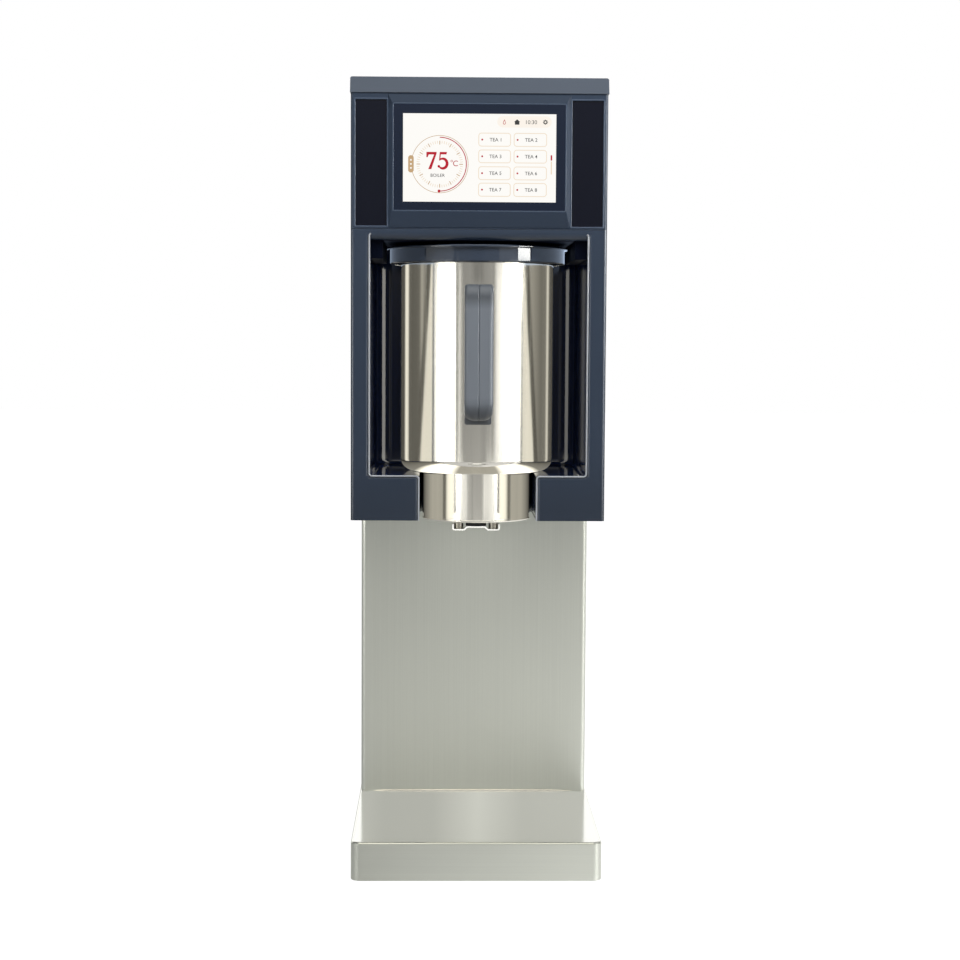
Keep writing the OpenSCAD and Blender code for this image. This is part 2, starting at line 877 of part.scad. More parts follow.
module spray_head() {
  wall = 2;
  flange = 6;
  neck_r = 14;
  hole_r = 1.2;
  hole_pitch = 9;
  hole_rings = 4;
  z_neck = z_spray + spray_h;
  color("gainsboro") translate([0, y_pot, 0]) difference() {
    rotate_extrude() {
      rect(0, z_ceiling, spray_r, z_spray);
      rect(0, z_spray, spray_r + flange, z_spray + wall);
      polygon([[0, z_spray + wall], [spray_r, z_spray + wall], [neck_r, z_neck], [0, z_neck]]);
      rect(0, z_neck, nipple_r, z_neck + nipple_h);
    }
    rotate_extrude() {
      polygon([[0, z_ceiling + wall], [spray_r - wall, z_ceiling + wall], [spray_r - wall, z_spray + wall],
        [neck_r - wall, z_neck - wall], [0, z_neck - wall]]);
      rect(0, z_spray, nipple_r - nipple_t, z_neck + nipple_h + cut);
    }
    for (ring = [0:hole_rings]) let (count = max(6 * ring, 1)) for (k = [0:count - 1])
      rotate(k * 360 / count) translate([ring * hole_pitch, 0, z_ceiling - cut])
        cylinder(r = hole_r, h = wall + 2 * cut, $fn = 24);
  }
}

// Brew pot
module turned_pot() {
  translate([0, y_pot, 0]) rotate_extrude() children();
}

// Half section of the vessel grown inwards by a wall
module vessel_half(t, rim) {
  corner = [pot_r - pot_corner_r, z_pot + pot_corner_r];
  polygon([[0, z_rim + rim], [pot_r - t, z_rim + rim], [pot_r - t, corner.y], [corner.x, z_pot + t],
    [cone_r, z_pot + t], [nozzle_r, z_cone + t], [0, z_cone + t]]);
  translate(corner) circle(pot_corner_r - t);
}

module vessel() {
  color("silver") difference() {
    union() {
      turned_pot() vessel_half(0, 0);
      translate([0, y_pot, z_rim - rim_t]) cylinder(r = pot_r + rim_w, h = rim_t);
    }
    turned_pot() vessel_half(pot_t, cut);
    translate([0, y_pot, z_cone - cut]) cylinder(r = outlet_r, h = cone_drop);
  }
}

module drain_skirt() {
  color("silver") turned_pot() {
    rect(skirt_r - pot_t, z_skirt + skirt_bead, skirt_r, z_pot);
    translate([skirt_r + bead_over - skirt_bead, z_skirt + skirt_bead]) circle(skirt_bead);
  }
}

module lid_ring() {
  plug_gap = 0.6;
  plug_wall = 2.5;
  plug_depth = 10;
  skirt_wall = 3;
  lip_h = 2.3;
  bead_w = 2;
  bead_h = 3;
  plug_r = pot_r - pot_t - plug_gap;
  z_low = z_lid_top - lid_skirt_h;
  edge = 1;
  color([0.1, 0.12, 0.17]) turned_pot() {
    rect(lid_mouth_r, z_lid, lip_r - edge, z_lid_top);
    rect(lip_r - edge, z_lid_top - lip_h, lip_r, z_lid_top - edge);
    translate([lip_r - edge, z_lid_top - edge]) intersection() {
      circle(edge);
      square(edge);
    }
    rect(lid_r - skirt_wall, z_low, lid_r, z_lid);
    rect(plug_r - plug_wall, z_lid - plug_depth, plug_r, z_lid);
    rect(lid_mouth_r, z_lid - bead_h, lid_mouth_r + bead_w, z_lid);
  }
}

module lid_seal() {
  color("dimgray") turned_pot() rect(pot_r - pot_t, z_rim, pot_r + rim_w, z_lid);
}

module strainer_plate() {
  wall_gap = 2;
  disc_t = 1;
  rim_wall = 1.5;
  rim_h = 8;
  margin = 8;
  disc_r = pot_r - pot_corner_r - wall_gap;
  pitch = (disc_r - margin) / strainer_rings;
  color("lightgray") translate([0, y_pot, z_pot + pot_t]) difference() {
    union() {
      cylinder(r = disc_r, h = disc_t);
      tube(disc_r, disc_r - rim_wall, rim_h);
    }
    for (ring = [1:strainer_rings]) for (k = [0:6 * ring - 1]) rotate(k * 60 / ring)
      translate([ring * pitch, 0, -cut]) cylinder(r = strainer_hole_r, h = disc_t + 2 * cut, $fn = 24);
  }
}

module handle_bracket() {
  half = handle_w / 2 - 0.75;
  wrap = 4;
  top_inset = 2;
  low_r = 2;
  high_r = 4;
  color("dimgray") difference() {
    along_y(y_bracket, y_pot_front + wrap)
      tablet(-half, handle_low - bracket_tail, half, handle_top - top_inset, low_r, high_r);
    translate([0, y_pot, handle_low - 2 * bracket_tail])
      cylinder(r = pot_r + seat_gap, h = handle_h + 4 * bracket_tail, $fn = 192);
  }
}

// Side outline of the grip: a bow with a tight top bend and a rounder lower end
module grip_side() {
  gap_low = handle_low + low_arm;
  gap_high = handle_top - top_arm;
  top_r = 12;
  low_r = 18;
  inner_r = 8;
  difference() {
    union() {
      rect(y_grip, handle_low + low_r, y_bracket, handle_top - top_r);
      rect(y_grip + low_r, handle_low, y_bracket, handle_low + low_r);
      rect(y_grip + top_r, handle_top - top_r, y_bracket, handle_top);
      translate([y_grip + low_r, handle_low + low_r]) circle(low_r);
      translate([y_grip + top_r, handle_top - top_r]) circle(top_r);
    }
    rect(y_grip + grip_t + inner_r, gap_low, y_bracket + cut, gap_high);
    rect(y_grip + grip_t, gap_low + inner_r, y_bracket, gap_high - inner_r);
    for (z = [gap_low + inner_r, gap_high - inner_r])
      translate([y_grip + grip_t + inner_r, z]) circle(inner_r);
  }
}

module handle_grip() {
  half = handle_w / 2;
  front_r = 5;
  low_r = 8;
  high_r = 4;
  crease = 0.7;
  color([0.45, 0.48, 0.5]) difference() {
    intersection() {
      along_x(-half, half) grip_side();
      up(handle_low, handle_top) tablet(-half, y_grip, half, y_bracket, front_r, 0);
      along_y(y_grip, y_bracket) tablet(-half, handle_low, half, handle_top, low_r, high_r);
    }
    up(handle_low + low_arm, handle_top - top_arm)
      polygon([[-2 * crease, y_grip - crease], [2 * crease, y_grip - crease], [0, y_grip + crease]]);
  }
}

// Drain valve
module outlet_nozzle() {
  color("gainsboro") translate([0, y_pot, z_guide]) tube(nozzle_r, outlet_r, z_cone - z_guide);
}

module at_posts() {
  for (x = [-post_x, post_x]) translate([x, y_pot, 0]) children();
}

module valve_guide() {
  bar_edge = 3;
  bar_d = 2 * (post_r + tube_t + bar_edge);
  bore = post_r + run_gap;
  color("gray") difference() {
    union() {
      intersection() {
        translate([0, y_pot, z_guide]) cylinder(r = skirt_r - pot_t - seat_gap, h = guide_t);
        translate([-skirt_r, y_pot - bar_d / 2, z_guide]) cube([2 * skirt_r, bar_d, guide_t]);
      }
      at_posts() translate([0, 0, z_guide]) cylinder(r = post_r + tube_t, h = z_tube_top - z_guide);
    }
    at_posts() translate([0, 0, z_guide - cut])
      cylinder(r = bore, h = z_tube_top - tube_cap - z_guide + cut);
    translate([0, y_pot, z_guide - cut]) cylinder(r = nozzle_r + seat_gap, h = z_tube_top);
  }
}

// One unbroken coil: rings of a round wire along a helix
function coil_point(i, j) = let (
    a = 360 * i * spring_turns / coil_steps,
    b = 360 * j / coil_sides,
    z = spring_low + (spring_high - spring_low) * i / coil_steps,
    r = spring_r + spring_wire * cos(b)
  ) [r * cos(a), r * sin(a), z + spring_wire * sin(b)];

module coil() {
  points = [for (i = [0:coil_steps]) for (j = [0:coil_sides - 1]) coil_point(i, j)];
  sides = [for (i = [0:coil_steps - 1]) for (j = [0:coil_sides - 1]) let (
      a = i * coil_sides + j,
      b = i * coil_sides + (j + 1) % coil_sides
    ) each [[a, b + coil_sides, b], [a, a + coil_sides, b + coil_sides]]];
  last = coil_steps * coil_sides;
  caps = [for (j = [1:coil_sides - 2]) each [[0, j, j + 1], [last, last + j + 1, last + j]]];
  polyhedron(points, concat(sides, caps));
}

module return_springs() {
  color("silver") at_posts() coil();
}

module bridge_posts() {
  color("gray") at_posts()
    translate([0, 0, z_bridge + bridge_t]) cylinder(r = post_r, h = post_top - z_bridge - bridge_t);
}

// Bent strip: a raised middle, a flat under each post and upturned ends
module lift_bridge() {
  post_edge = 0.5;
  foot = post_x - post_r - post_edge;
  mid = foot - bridge_rise;
  bend = bridge_t * tan(22.5);
  inside = bridge_half - bridge_t;
  z_mid = z_bridge + bridge_rise;
  half = [
    [mid - bend, z_mid], [foot - bend, z_bridge], [bridge_half, z_bridge],
    [bridge_half, z_bridge + bridge_leg], [inside, z_bridge + bridge_leg],
    [inside, z_bridge + bridge_t], [foot, z_bridge + bridge_t], [mid, z_mid + bridge_t]
  ];
  color("silver") along_y(y_pot - bridge_d / 2, y_pot + bridge_d / 2)
    polygon(concat(half, [for (k = [len(half) - 1:-1:0]) [-half[k].x, half[k].y]]));
}

module valve_stem() {
  z0 = z_bridge + bridge_rise + bridge_t;
  color("silver") translate([0, y_pot, z0]) cylinder(r = stem_r, h = plug_low + stem_hold - z0);
}

module valve_plug() {
  seat_lap = 1.6;
  seat_r = outlet_r + seat_lap;
  rim_h = 2;
  top_r = 4;
  pilot_gap = 1;
  pilot_r = outlet_r - pilot_gap;
  pilot_h = 3;
  stem_fit = 0.05;
  color("whitesmoke") translate([0, y_pot, 0]) difference() {
    rotate_extrude() {
      polygon([[0, plug_low], [seat_r, plug_low], [seat_r, plug_low + rim_h],
        [top_r, plug_low + plug_h], [0, plug_low + plug_h]]);
      rect(0, plug_low - pilot_h, pilot_r, plug_low);
    }
    translate([0, 0, plug_low - pilot_h - cut])
      cylinder(r = stem_r + stem_fit, h = pilot_h + stem_hold + cut);
  }
}

// Electrics in the head and the column
// Board on standoffs behind the display, with its larger parts as [left, low, width, height]
module control_board() {
  standoff = 8;
  standoff_r = 3;
  board_t = 1.6;
  part_h = 10.4;
  sink = 0.1;
  half = module_half - standoff;
  y0 = y_bay + module_back;
  y_board = y0 + standoff;
  edge = 6;
  relay_w = 34;
  relay_h = 24;
  chip_x = 20;
  chip_z = 40;
  chip_w = 36;
  chip_h = 26;
  driver_x = 30;
  driver_z = 20;
  driver_w = 22;
  driver_h = 40;
  parts = [[edge - half, edge, relay_w, relay_h], [-chip_x, chip_z, chip_w, chip_h],
    [half - driver_x, driver_z, driver_w, driver_h]];
  color("darkgreen") {
    along_y(y_board, y_board + board_t) rect(-half, z_screen, half, z_screen + screen_h);
    for (x = [-1, 1]) for (z = [z_screen + standoff, z_screen + screen_h - standoff])
      translate([x * (half - standoff), y_board + sink, z]) rotate([90, 0, 0])
        cylinder(r = standoff_r, h = standoff + sink);
    along_y(y_board + board_t - sink, y_board + board_t + part_h) for (p = parts)
      translate([p[0], z_screen + p[1]]) square([p[2], p[3]]);
  }
}

module power_supply() {
  w = 130;
  d = 42;
  h = 96;
  slots = 10;
  slot_w = 4;
  slot_pitch = 11;
  slot_depth = 5;
  slot_low = 30;
  slot_h = 50;
  wall_gap = 8;
  y0 = y_column + sheet_t + wall_gap;
  x0 = -(slots - 1) * slot_pitch / 2;
  color("lightsteelblue") difference() {
    translate([-w / 2, y0, z_column]) cube([w, d, h]);
    for (k = [0:slots - 1]) translate([x0 + k * slot_pitch - slot_w / 2, y0 - cut, z_column + slot_low])
      cube([slot_w, slot_depth + cut, slot_h]);
  }
}

// Boiler
module at_boiler() {
  translate([0, y_boiler, 0]) children();
}

module boiler_stand() {
  wall = 4;
  window_w = 28;
  window_edge = 6;
  z0 = z_head + plate_t;
  color("gray") at_boiler() difference() {
    translate([0, 0, z0]) tube(boiler_floor_r, boiler_floor_r - wall, stand_h);
    for (k = [0:2]) rotate(k * 120 + 60) translate([0, -window_w / 2, z0 + window_edge])
      cube([boiler_r, window_w, stand_h - 2 * window_edge]);
  }
}

module boiler_half(t) {
  r = boiler_corner_r;
  rect(0, z_boiler + r, boiler_r - t, z_boiler_lid + (t > 0 ? cut : 0));
  rect(0, z_boiler + t, boiler_r - r, z_boiler + r);
  translate([boiler_r - r, z_boiler + r]) intersection() {
    circle(r - t);
    rect(0, -r, r, cut);
  }
}

module boiler_tank() {
  color("silver") at_boiler() difference() {
    union() {
      rotate_extrude() {
        difference() {
          boiler_half(0);
          boiler_half(boiler_t);
        }
        rect(boiler_r - boiler_t, z_boiler_lid - plate_t, boiler_r + boiler_flange, z_boiler_lid);
      }
      translate([pump_x, 0, z_boiler - nipple_h]) cylinder(r = nipple_r, h = nipple_h + boiler_t);
    }
    translate([pump_x, 0, z_boiler - nipple_h - cut])
      cylinder(r = nipple_r - nipple_t, h = nipple_h + boiler_t + 2 * cut);
  }
}

module insulation_jacket() {
  low = boiler_corner_r + 2;
  top_gap = 6;
  color("khaki") at_boiler() translate([0, 0, z_boiler + low])
    tube(boiler_r + jacket_t, boiler_r + seat_gap, boiler_h - low - top_gap);
}

module boiler_lid() {
  color("gainsboro") at_boiler() difference() {
    union() {
      translate([0, 0, z_boiler_lid]) cylinder(r = boiler_r + boiler_flange, h = boiler_lid_t);
      translate([supply_x, supply_y, z_boiler_lid + boiler_lid_t - 0.1])
        cylinder(r = nipple_r, h = nipple_h + 0.1);
    }
    translate([supply_x, supply_y, z_boiler_lid - cut])
      cylinder(r = nipple_r - nipple_t, h = boiler_lid_t + nipple_h + 2 * cut);
    for (x = [-1, 1]) translate([x * heater_x, heater_y, z_boiler_lid - cut])
      cylinder(r = heater_leg + seat_gap, h = boiler_lid_t + 2 * cut);
    for (x = [-2:2]) translate([x * probe_pitch, probe_y, z_boiler_lid - cut])
      cylinder(r = probe_r + seat_gap, h = boiler_lid_t + 2 * cut);
  }
}

module heating_element() {
  lift = 26;
  tail = 12;
  z0 = z_boiler + lift;
  top = z_boiler_lid + boiler_lid_t + tail;
  color("dimgray") at_boiler() {
    translate([0, 0, z0]) rotate_extrude() translate([heater_r, 0]) circle(heater_wire);
    for (x = [-1, 1]) translate([x * heater_x, heater_y, z0]) cylinder(r = heater_leg, h = top - z0);
  }
}

module probe(x, depth) {
  translate([x, y_boiler + probe_y, z_boiler_lid]) {
    translate([0, 0, -depth]) cylinder(r = probe_r, h = depth + boiler_lid_t);
    translate([0, 0, boiler_lid_t]) cylinder(r = probe_nut_r, h = probe_nut_h, $fn = 6);
  }
}

module temperature_probe() {
  color("goldenrod") probe(0, probe_depth);
}

module level_probes() {
  color("silver") {
    probe(-2 * probe_pitch, level_full);
    probe(2 * probe_pitch, level_low);
  }
}

// Pump
module at_pump() {
  translate([pump_x, y_boiler, 0]) children();
}

module pump_bracket() {
  margin = 12;
  side = 2 * (motor_r + margin);
  corner = 8;
  well_lip = 8;
  well_r = motor_r - well_lip;
  well_h = pump_foot_h / 2;
  sink = 0.1;
  cup_t = 4;
  cup_h = 14;
  color("gray") at_pump() translate([0, 0, z_column]) {
    difference() {
      up(0, pump_foot_h) rounded(side, side, corner);
      translate([0, 0, well_h]) cylinder(r = well_r, h = well_h + cut);
    }
    translate([0, 0, pump_foot_h - sink]) tube(motor_r + cup_t, motor_r + seat_gap, cup_h);
  }
}

module pump_motor() {
  fins = 12;
  fin_w = 2;
  fin_low = 20;
  fin_high = motor_h - 4;
  color("darkslategray") at_pump() translate([0, 0, z_motor]) difference() {
    union() {
      cylinder(r = motor_r, h = motor_h);
      for (k = [0:fins - 1]) rotate(k * 360 / fins) translate([motor_r - 1, -fin_w / 2, fin_low])
        cube([1 + fin_w, fin_w, fin_high - fin_low]);
    }
    translate([0, 0, motor_h - shaft_depth]) cylinder(r = shaft_r + run_gap, h = shaft_depth + cut);
  }
}

module pump_housing() {
  out_y = -pump_side;
  bore = nipple_r - nipple_t;
  sink = 0.1;
  color("whitesmoke") at_pump() difference() {
    union() {
      translate([0, 0, z_pump]) cylinder(r = pump_r, h = pump_h);
      translate([0, 0, z_pump + pump_h - sink]) cylinder(r = nipple_r, h = nipple_h + sink);
      translate([pump_out_end - pump_x, out_y, z_pump_out]) rotate([0, 90, 0])
        cylinder(r = nipple_r, h = pump_r + nipple_h);
    }
    translate([0, 0, z_volute]) cylinder(r = volute_r, h = volute_h);
    translate([0, 0, z_pump - cut]) cylinder(r = shaft_r + run_gap, h = pump_t + 2 * cut);
    translate([0, 0, z_volute]) cylinder(r = bore, h = pump_h + nipple_h);
    translate([pump_out_end - pump_x - cut, out_y, z_pump_out]) rotate([0, 90, 0])
      cylinder(r = bore, h = pump_r + nipple_h);
  }
}

module pump_rotor() {
  z0 = z_volute + 1.5;
  disc_h = 2.5;
  hub_r = 7;
  hub_h = 7;
  blades = 7;
  blade_h = volute_h - 6;
  blade_half = 1;
  shaft_low = z_pump - shaft_depth + 2;
  color("tan") at_pump() {
    translate([0, 0, shaft_low]) cylinder(r = shaft_r, h = z0 + 1 - shaft_low);
    translate([0, 0, z0]) cylinder(r = rotor_r, h = disc_h);
    translate([0, 0, z0]) cylinder(r = hub_r, h = hub_h);
    for (k = [0:blades - 1]) rotate(k * 360 / blades) translate([0, 0, z0 + disc_h / 2]) intersection() {
      tube(rotor_r - blade_half, hub_r - blade_half, blade_h);
      translate([0, rotor_r, 0]) tube(rotor_r + blade_half, rotor_r - blade_half, blade_h);
      translate([0, -hub_r, 0]) cube([rotor_r, rotor_r + hub_r, blade_h]);
    }
  }
}

module pump_hose() {
  color("white") hose([
    [pump_x, y_boiler, z_boiler - nipple_h + hose_over],
    [pump_x, y_boiler, pump_in_top - hose_over]
  ]);
}

module brew_hose() {
  y_out = y_boiler - pump_side;
  color("white") hose([
    [pump_out_end + hose_over, y_out, z_pump_out],
    [brew_x, y_out, z_pump_out],
    [brew_x, y_out, z_brew],
    [brew_x, y_pot, z_brew],
    [0, y_pot, z_brew],
    [0, y_pot, z_spray + spray_h + nipple_h - hose_over]
  ]);
}

// Water inlet at the rear
module inlet_fitting() {
  length = inlet_reach + sheet_t + inlet_tail;
  color("goldenrod") translate([rear_x, y_rear + inlet_reach, z_inlet]) rotate([90, 0, 0]) difference() {
    union() {
      cylinder(r = inlet_r, h = length);
      translate([0, 0, inlet_reach - inlet_nut]) cylinder(r = inlet_r + inlet_nut, h = inlet_nut, $fn = 6);
    }
    translate([0, 0, -cut]) cylinder(r = inlet_r - inlet_wall, h = length + 2 * cut);
  }
}

module inlet_valve_body() {
  front = 12;
  corner = 6;
  sink = 0.1;
  y1 = y_panel - inlet_tail;
  color("ivory") difference() {
    union() {
      along_y(valve_y - front, y1) translate([rear_x, z_inlet]) rounded(valve_w, valve_w, corner);
      translate([rear_x, valve_y, valve_top - sink]) cylinder(r = nipple_r, h = nipple_h + sink);
      translate([tube_end, valve_y, z_inlet]) rotate([0, 90, 0])
        cylinder(r = plunger_r + tube_wall, h = rear_x - tube_end);
    }
    translate([rear_x, y1 + cut, z_inlet]) rotate([90, 0, 0])
      cylinder(r = inlet_r - inlet_wall, h = y1 - valve_y - inlet_wall + cut);
    translate([rear_x, valve_y, z_inlet])
      cylinder(r = nipple_r - nipple_t, h = valve_w / 2 + nipple_h + cut);
    translate([tube_end + tube_wall, valve_y, z_inlet]) rotate([0, 90, 0])
      cylinder(r = plunger_r + run_gap, h = rear_x - tube_end - tube_wall);
  }
}

module valve_coil() {
  coil_r = 16;
  coil_w = 32;
  x1 = rear_x - valve_w / 2 - seat_gap;
  color("navy") translate([x1 - coil_w, valve_y, z_inlet]) rotate([0, 90, 0])
    tube(coil_r, plunger_r + tube_wall + seat_gap, coil_w);
}

module valve_plunger() {
  color("gray") translate([plunger_end - plunger_len, valve_y, z_inlet]) rotate([0, 90, 0])
    cylinder(r = plunger_r, h = plunger_len);
}

module supply_hose() {
  z0 = valve_top + nipple_h - hose_over;
  color("white") hose([
    [rear_x, valve_y, z0],
    [rear_x, valve_y, z_supply],
    [supply_x, valve_y, z_supply],
    [supply_x, valve_y - supply_turn, z_supply],
    [supply_x, valve_y - supply_turn, z_boiler_lid + boiler_lid_t + nipple_h - hose_over]
  ]);
}

// Power entry and switch
module cord_gland() {
  nut_r = gland_thread_r + 4;
  nut_h = 5;
  lock_h = 6;
  tail = 14;
  dome_r = gland_thread_r + 2.5;
  dome_h = 11;
  mouth_r = cord_r + 2;
  inside = sheet_t + tail;
  color("black") translate([-rear_x, y_rear, z_inlet]) rotate([-90, 0, 0]) difference() {
    union() {
      translate([0, 0, -inside]) cylinder(r = gland_thread_r, h = inside + nut_h / 2);
      cylinder(r = nut_r, h = nut_h, $fn = 6);
      translate([0, 0, nut_h]) cylinder(r1 = dome_r, r2 = mouth_r, h = dome_h);
      translate([0, 0, -sheet_t - lock_h]) cylinder(r = nut_r, h = lock_h, $fn = 6);
    }
    translate([0, 0, -inside - cut]) cylinder(r = cord_r, h = inside + nut_h + dome_h + 2 * cut);
  }
}

module switch_housing() {
  frame_w = 2.5;
  frame_t = 2;
  depth = 24;
  well = 14;
  sink = 0.1;
  inner = [2 * rocker_half + 1, rocker_len + 2.4];
  pin_reach = rocker_half + pin_len + seat_gap;
  color("black") difference() {
    union() {
      along_y(y_rear, y_rear + frame_t) translate([-rear_x, z_switch])
        rounded(switch_w + 2 * frame_w, switch_h + 2 * frame_w, frame_t);
      along_y(y_rear - depth, y_rear + sink)
        translate([-rear_x, z_switch]) square([switch_w, switch_h], center = true);
    }
    along_y(y_rear - well, y_rear + frame_t + cut)
      translate([-rear_x, z_switch]) square(inner, center = true);
    translate([-rear_x - pin_reach, y_pivot, z_switch]) rotate([0, 90, 0])
      cylinder(r = pin_r + run_gap, h = 2 * pin_reach);
  }
}

// Rocker with two tilted faces, drawn in its off position
module power_rocker() {
  top = rocker_len / 2 - 0.6;
  face = 7.2;
  dip = 5;
  shoulder = 3;
  root = 4;
  root_half = 5;
  color([0.6, 0.1, 0.1]) translate([-rear_x, y_pivot, z_switch]) rotate([rocker_tilt, 0, 0]) {
    along_x(-rocker_half, rocker_half) polygon([
      [-root, -root_half], [-root, root_half], [shoulder, top], [face, top], [dip, 0], [face, -top],
      [shoulder, -top]
    ]);
    translate([-rocker_half - pin_len, 0, 0]) rotate([0, 90, 0])
      cylinder(r = pin_r, h = 2 * (rocker_half + pin_len));
  }
}

base_cover();
base_plate();
rubber_feet();
column_cover();
column_uprights();
column_rear_panel();
head_deck();
head_cover();
head_rear_panel();
rear_screws();
top_cover();
lower_fascia();
display_frame();
screen_bezel();
touch_glass();
display_module();
side_panel_left();
side_panel_right();
bay_liner();
bay_floor();
bay_ceiling();
underside_cover();
vessel();
drain_skirt();
lid_ring();
lid_seal();
strainer_plate();
handle_bracket();
handle_grip();
outlet_nozzle();
valve_guide();
return_springs();
valve_stem();
valve_plug();
bridge_posts();
lift_bridge();
spray_head();
control_board();
power_supply();
boiler_stand();
boiler_tank();
insulation_jacket();
boiler_lid();
heating_element();
temperature_probe();
level_probes();
pump_bracket();
pump_motor();
pump_housing();
pump_rotor();
pump_hose();
brew_hose();
inlet_fitting();
inlet_valve_body();
valve_coil();
valve_plunger();
supply_hose();
cord_gland();
switch_housing();
power_rocker();
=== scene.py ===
"""Looks of the tea brewer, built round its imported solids. Metres, +Z up, front towards -Y."""
import json
import math

import bpy
import numpy as np
from mathutils import Matrix, Vector


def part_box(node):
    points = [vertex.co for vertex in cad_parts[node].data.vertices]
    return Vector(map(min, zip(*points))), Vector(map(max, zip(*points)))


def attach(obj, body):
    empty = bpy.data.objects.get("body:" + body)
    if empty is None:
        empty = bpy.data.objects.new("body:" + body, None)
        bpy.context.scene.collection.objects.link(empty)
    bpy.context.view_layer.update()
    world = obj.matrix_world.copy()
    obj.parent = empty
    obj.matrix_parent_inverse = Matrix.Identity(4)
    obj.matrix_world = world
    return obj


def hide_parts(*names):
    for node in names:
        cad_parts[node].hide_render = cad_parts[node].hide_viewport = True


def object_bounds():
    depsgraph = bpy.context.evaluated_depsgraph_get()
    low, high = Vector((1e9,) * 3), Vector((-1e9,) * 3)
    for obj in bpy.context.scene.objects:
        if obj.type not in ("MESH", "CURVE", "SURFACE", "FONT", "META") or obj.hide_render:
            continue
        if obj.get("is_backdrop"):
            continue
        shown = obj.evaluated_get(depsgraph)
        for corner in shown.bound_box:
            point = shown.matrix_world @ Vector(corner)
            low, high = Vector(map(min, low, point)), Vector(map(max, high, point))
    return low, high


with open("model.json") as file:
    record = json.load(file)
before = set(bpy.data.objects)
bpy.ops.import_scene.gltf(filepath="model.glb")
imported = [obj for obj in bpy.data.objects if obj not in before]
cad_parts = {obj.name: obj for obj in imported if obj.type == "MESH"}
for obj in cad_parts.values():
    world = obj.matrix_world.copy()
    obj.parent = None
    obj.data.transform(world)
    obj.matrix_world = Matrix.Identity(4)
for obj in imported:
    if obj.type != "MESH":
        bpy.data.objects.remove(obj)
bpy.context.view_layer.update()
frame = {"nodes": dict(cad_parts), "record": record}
nodes = frame["nodes"]
MM = 0.001
SIDES = (("left", -1), ("right", 1))

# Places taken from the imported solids
pot_low, pot_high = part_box("vessel")
skirt_low, skirt_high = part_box("drain_skirt")
lid_low, lid_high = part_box("lid_ring")
grip_low, grip_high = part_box("handle_grip")
base_low, base_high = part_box("base_cover")
column_low, column_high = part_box("column_cover")
glass_low, glass_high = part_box("touch_glass")
module_low, module_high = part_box("display_module")
bridge_low, bridge_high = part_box("lift_bridge")
inlet_low, inlet_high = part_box("inlet_fitting")
gland_low, gland_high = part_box("cord_gland")
rocker_low, rocker_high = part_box("power_rocker")
column_back_low, column_back_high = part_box("column_rear_panel")
head_back_low, head_back_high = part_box("head_rear_panel")
liner_low, liner_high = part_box("bay_liner")
bezel_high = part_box("screen_bezel")[1]
fascia_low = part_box("lower_fascia")[0]
pot_y = (pot_low.y + pot_high.y) / 2
pot_axis = (0.0, pot_y)


# Camera at the photograph's viewing angle
CAMERA_PLACE = (-0.0359, -2.1220, 0.5561)
CAMERA_YAW = 0.019787
CAMERA_PITCH = 0.075082
CAMERA_ROLL = 0.005474
FOCAL_PIXELS = 1893.0
IMAGE_PIXELS = 960
SENSOR_MM = 36


def make_camera():
    """Camera turned from a level view along +Y by its yaw, its downward pitch and its roll."""
    turn = Matrix.Rotation(-CAMERA_YAW, 3, "Z")
    tilt = Matrix.Rotation(math.pi / 2 - CAMERA_PITCH, 3, "X")
    roll = Matrix.Rotation(CAMERA_ROLL, 3, "Z")
    data = bpy.data.cameras.new("camera")
    data.sensor_width = SENSOR_MM
    data.lens = FOCAL_PIXELS / IMAGE_PIXELS * SENSOR_MM
    data.clip_start = 0.05
    data.clip_end = 50
    camera = bpy.data.objects.new("camera", data)
    camera.matrix_world = Matrix.Translation(CAMERA_PLACE) @ (turn @ tilt @ roll).to_4x4()
    bpy.context.scene.collection.objects.link(camera)
    bpy.context.scene.camera = camera


# Shapes as arrays: a shell is its points and its faces
def full_turn(steps):
    """Angles of one whole turn in equal steps."""
    return np.linspace(0, 2 * np.pi, steps, endpoint=False)


def arc(centre, radius, start, stop, steps=8):
    """Points on a circle: centre plus radius times cosine and sine of even steps of angle, in degrees."""
    a = np.radians(np.linspace(start, stop, steps))
    return np.stack([centre[0] + radius * np.cos(a), centre[1] + radius * np.sin(a)], -1)


def filleted(corners, radii, steps=6):
    """Closed outline whose corners are replaced by arcs that touch both sides.

    Each arc starts and ends at radius / tan(half corner angle) from its corner, and its points are
    the centre plus the radius along directions spread evenly between the two side normals.
    """
    corners = np.asarray(corners, float)
    before = np.roll(corners, 1, 0) - corners
    after = np.roll(corners, -1, 0) - corners
    before /= np.linalg.norm(before, axis=1, keepdims=True)
    after /= np.linalg.norm(after, axis=1, keepdims=True)
    half = np.arccos(np.clip((before * after).sum(1), -1, 1)) / 2
    radii = np.broadcast_to(np.asarray(radii, float), half.shape)
    middle = before + after
    middle /= np.maximum(np.linalg.norm(middle, axis=1, keepdims=True), 1e-12)
    centre = corners + middle * (radii / np.sin(half))[:, None]
    first = corners + before * (radii / np.tan(half))[:, None] - centre
    last = corners + after * (radii / np.tan(half))[:, None] - centre
    start = np.arctan2(first[:, 1], first[:, 0])
    sweep = np.arctan2(last[:, 1], last[:, 0]) - start
    sweep = (sweep + np.pi) % (2 * np.pi) - np.pi
    angle = start[:, None] + sweep[:, None] * np.linspace(0, 1, steps)
    ring = np.stack([np.cos(angle), np.sin(angle)], -1) * radii[:, None, None]
    return (centre[:, None] + ring).reshape(-1, 2)


def rounded_loop(x0, y0, x1, y1, radius, steps=8):
    """Rectangle outline with its four corners rounded to one radius."""
    return filleted([(x0, y0), (x1, y0), (x1, y1), (x0, y1)], radius, steps)


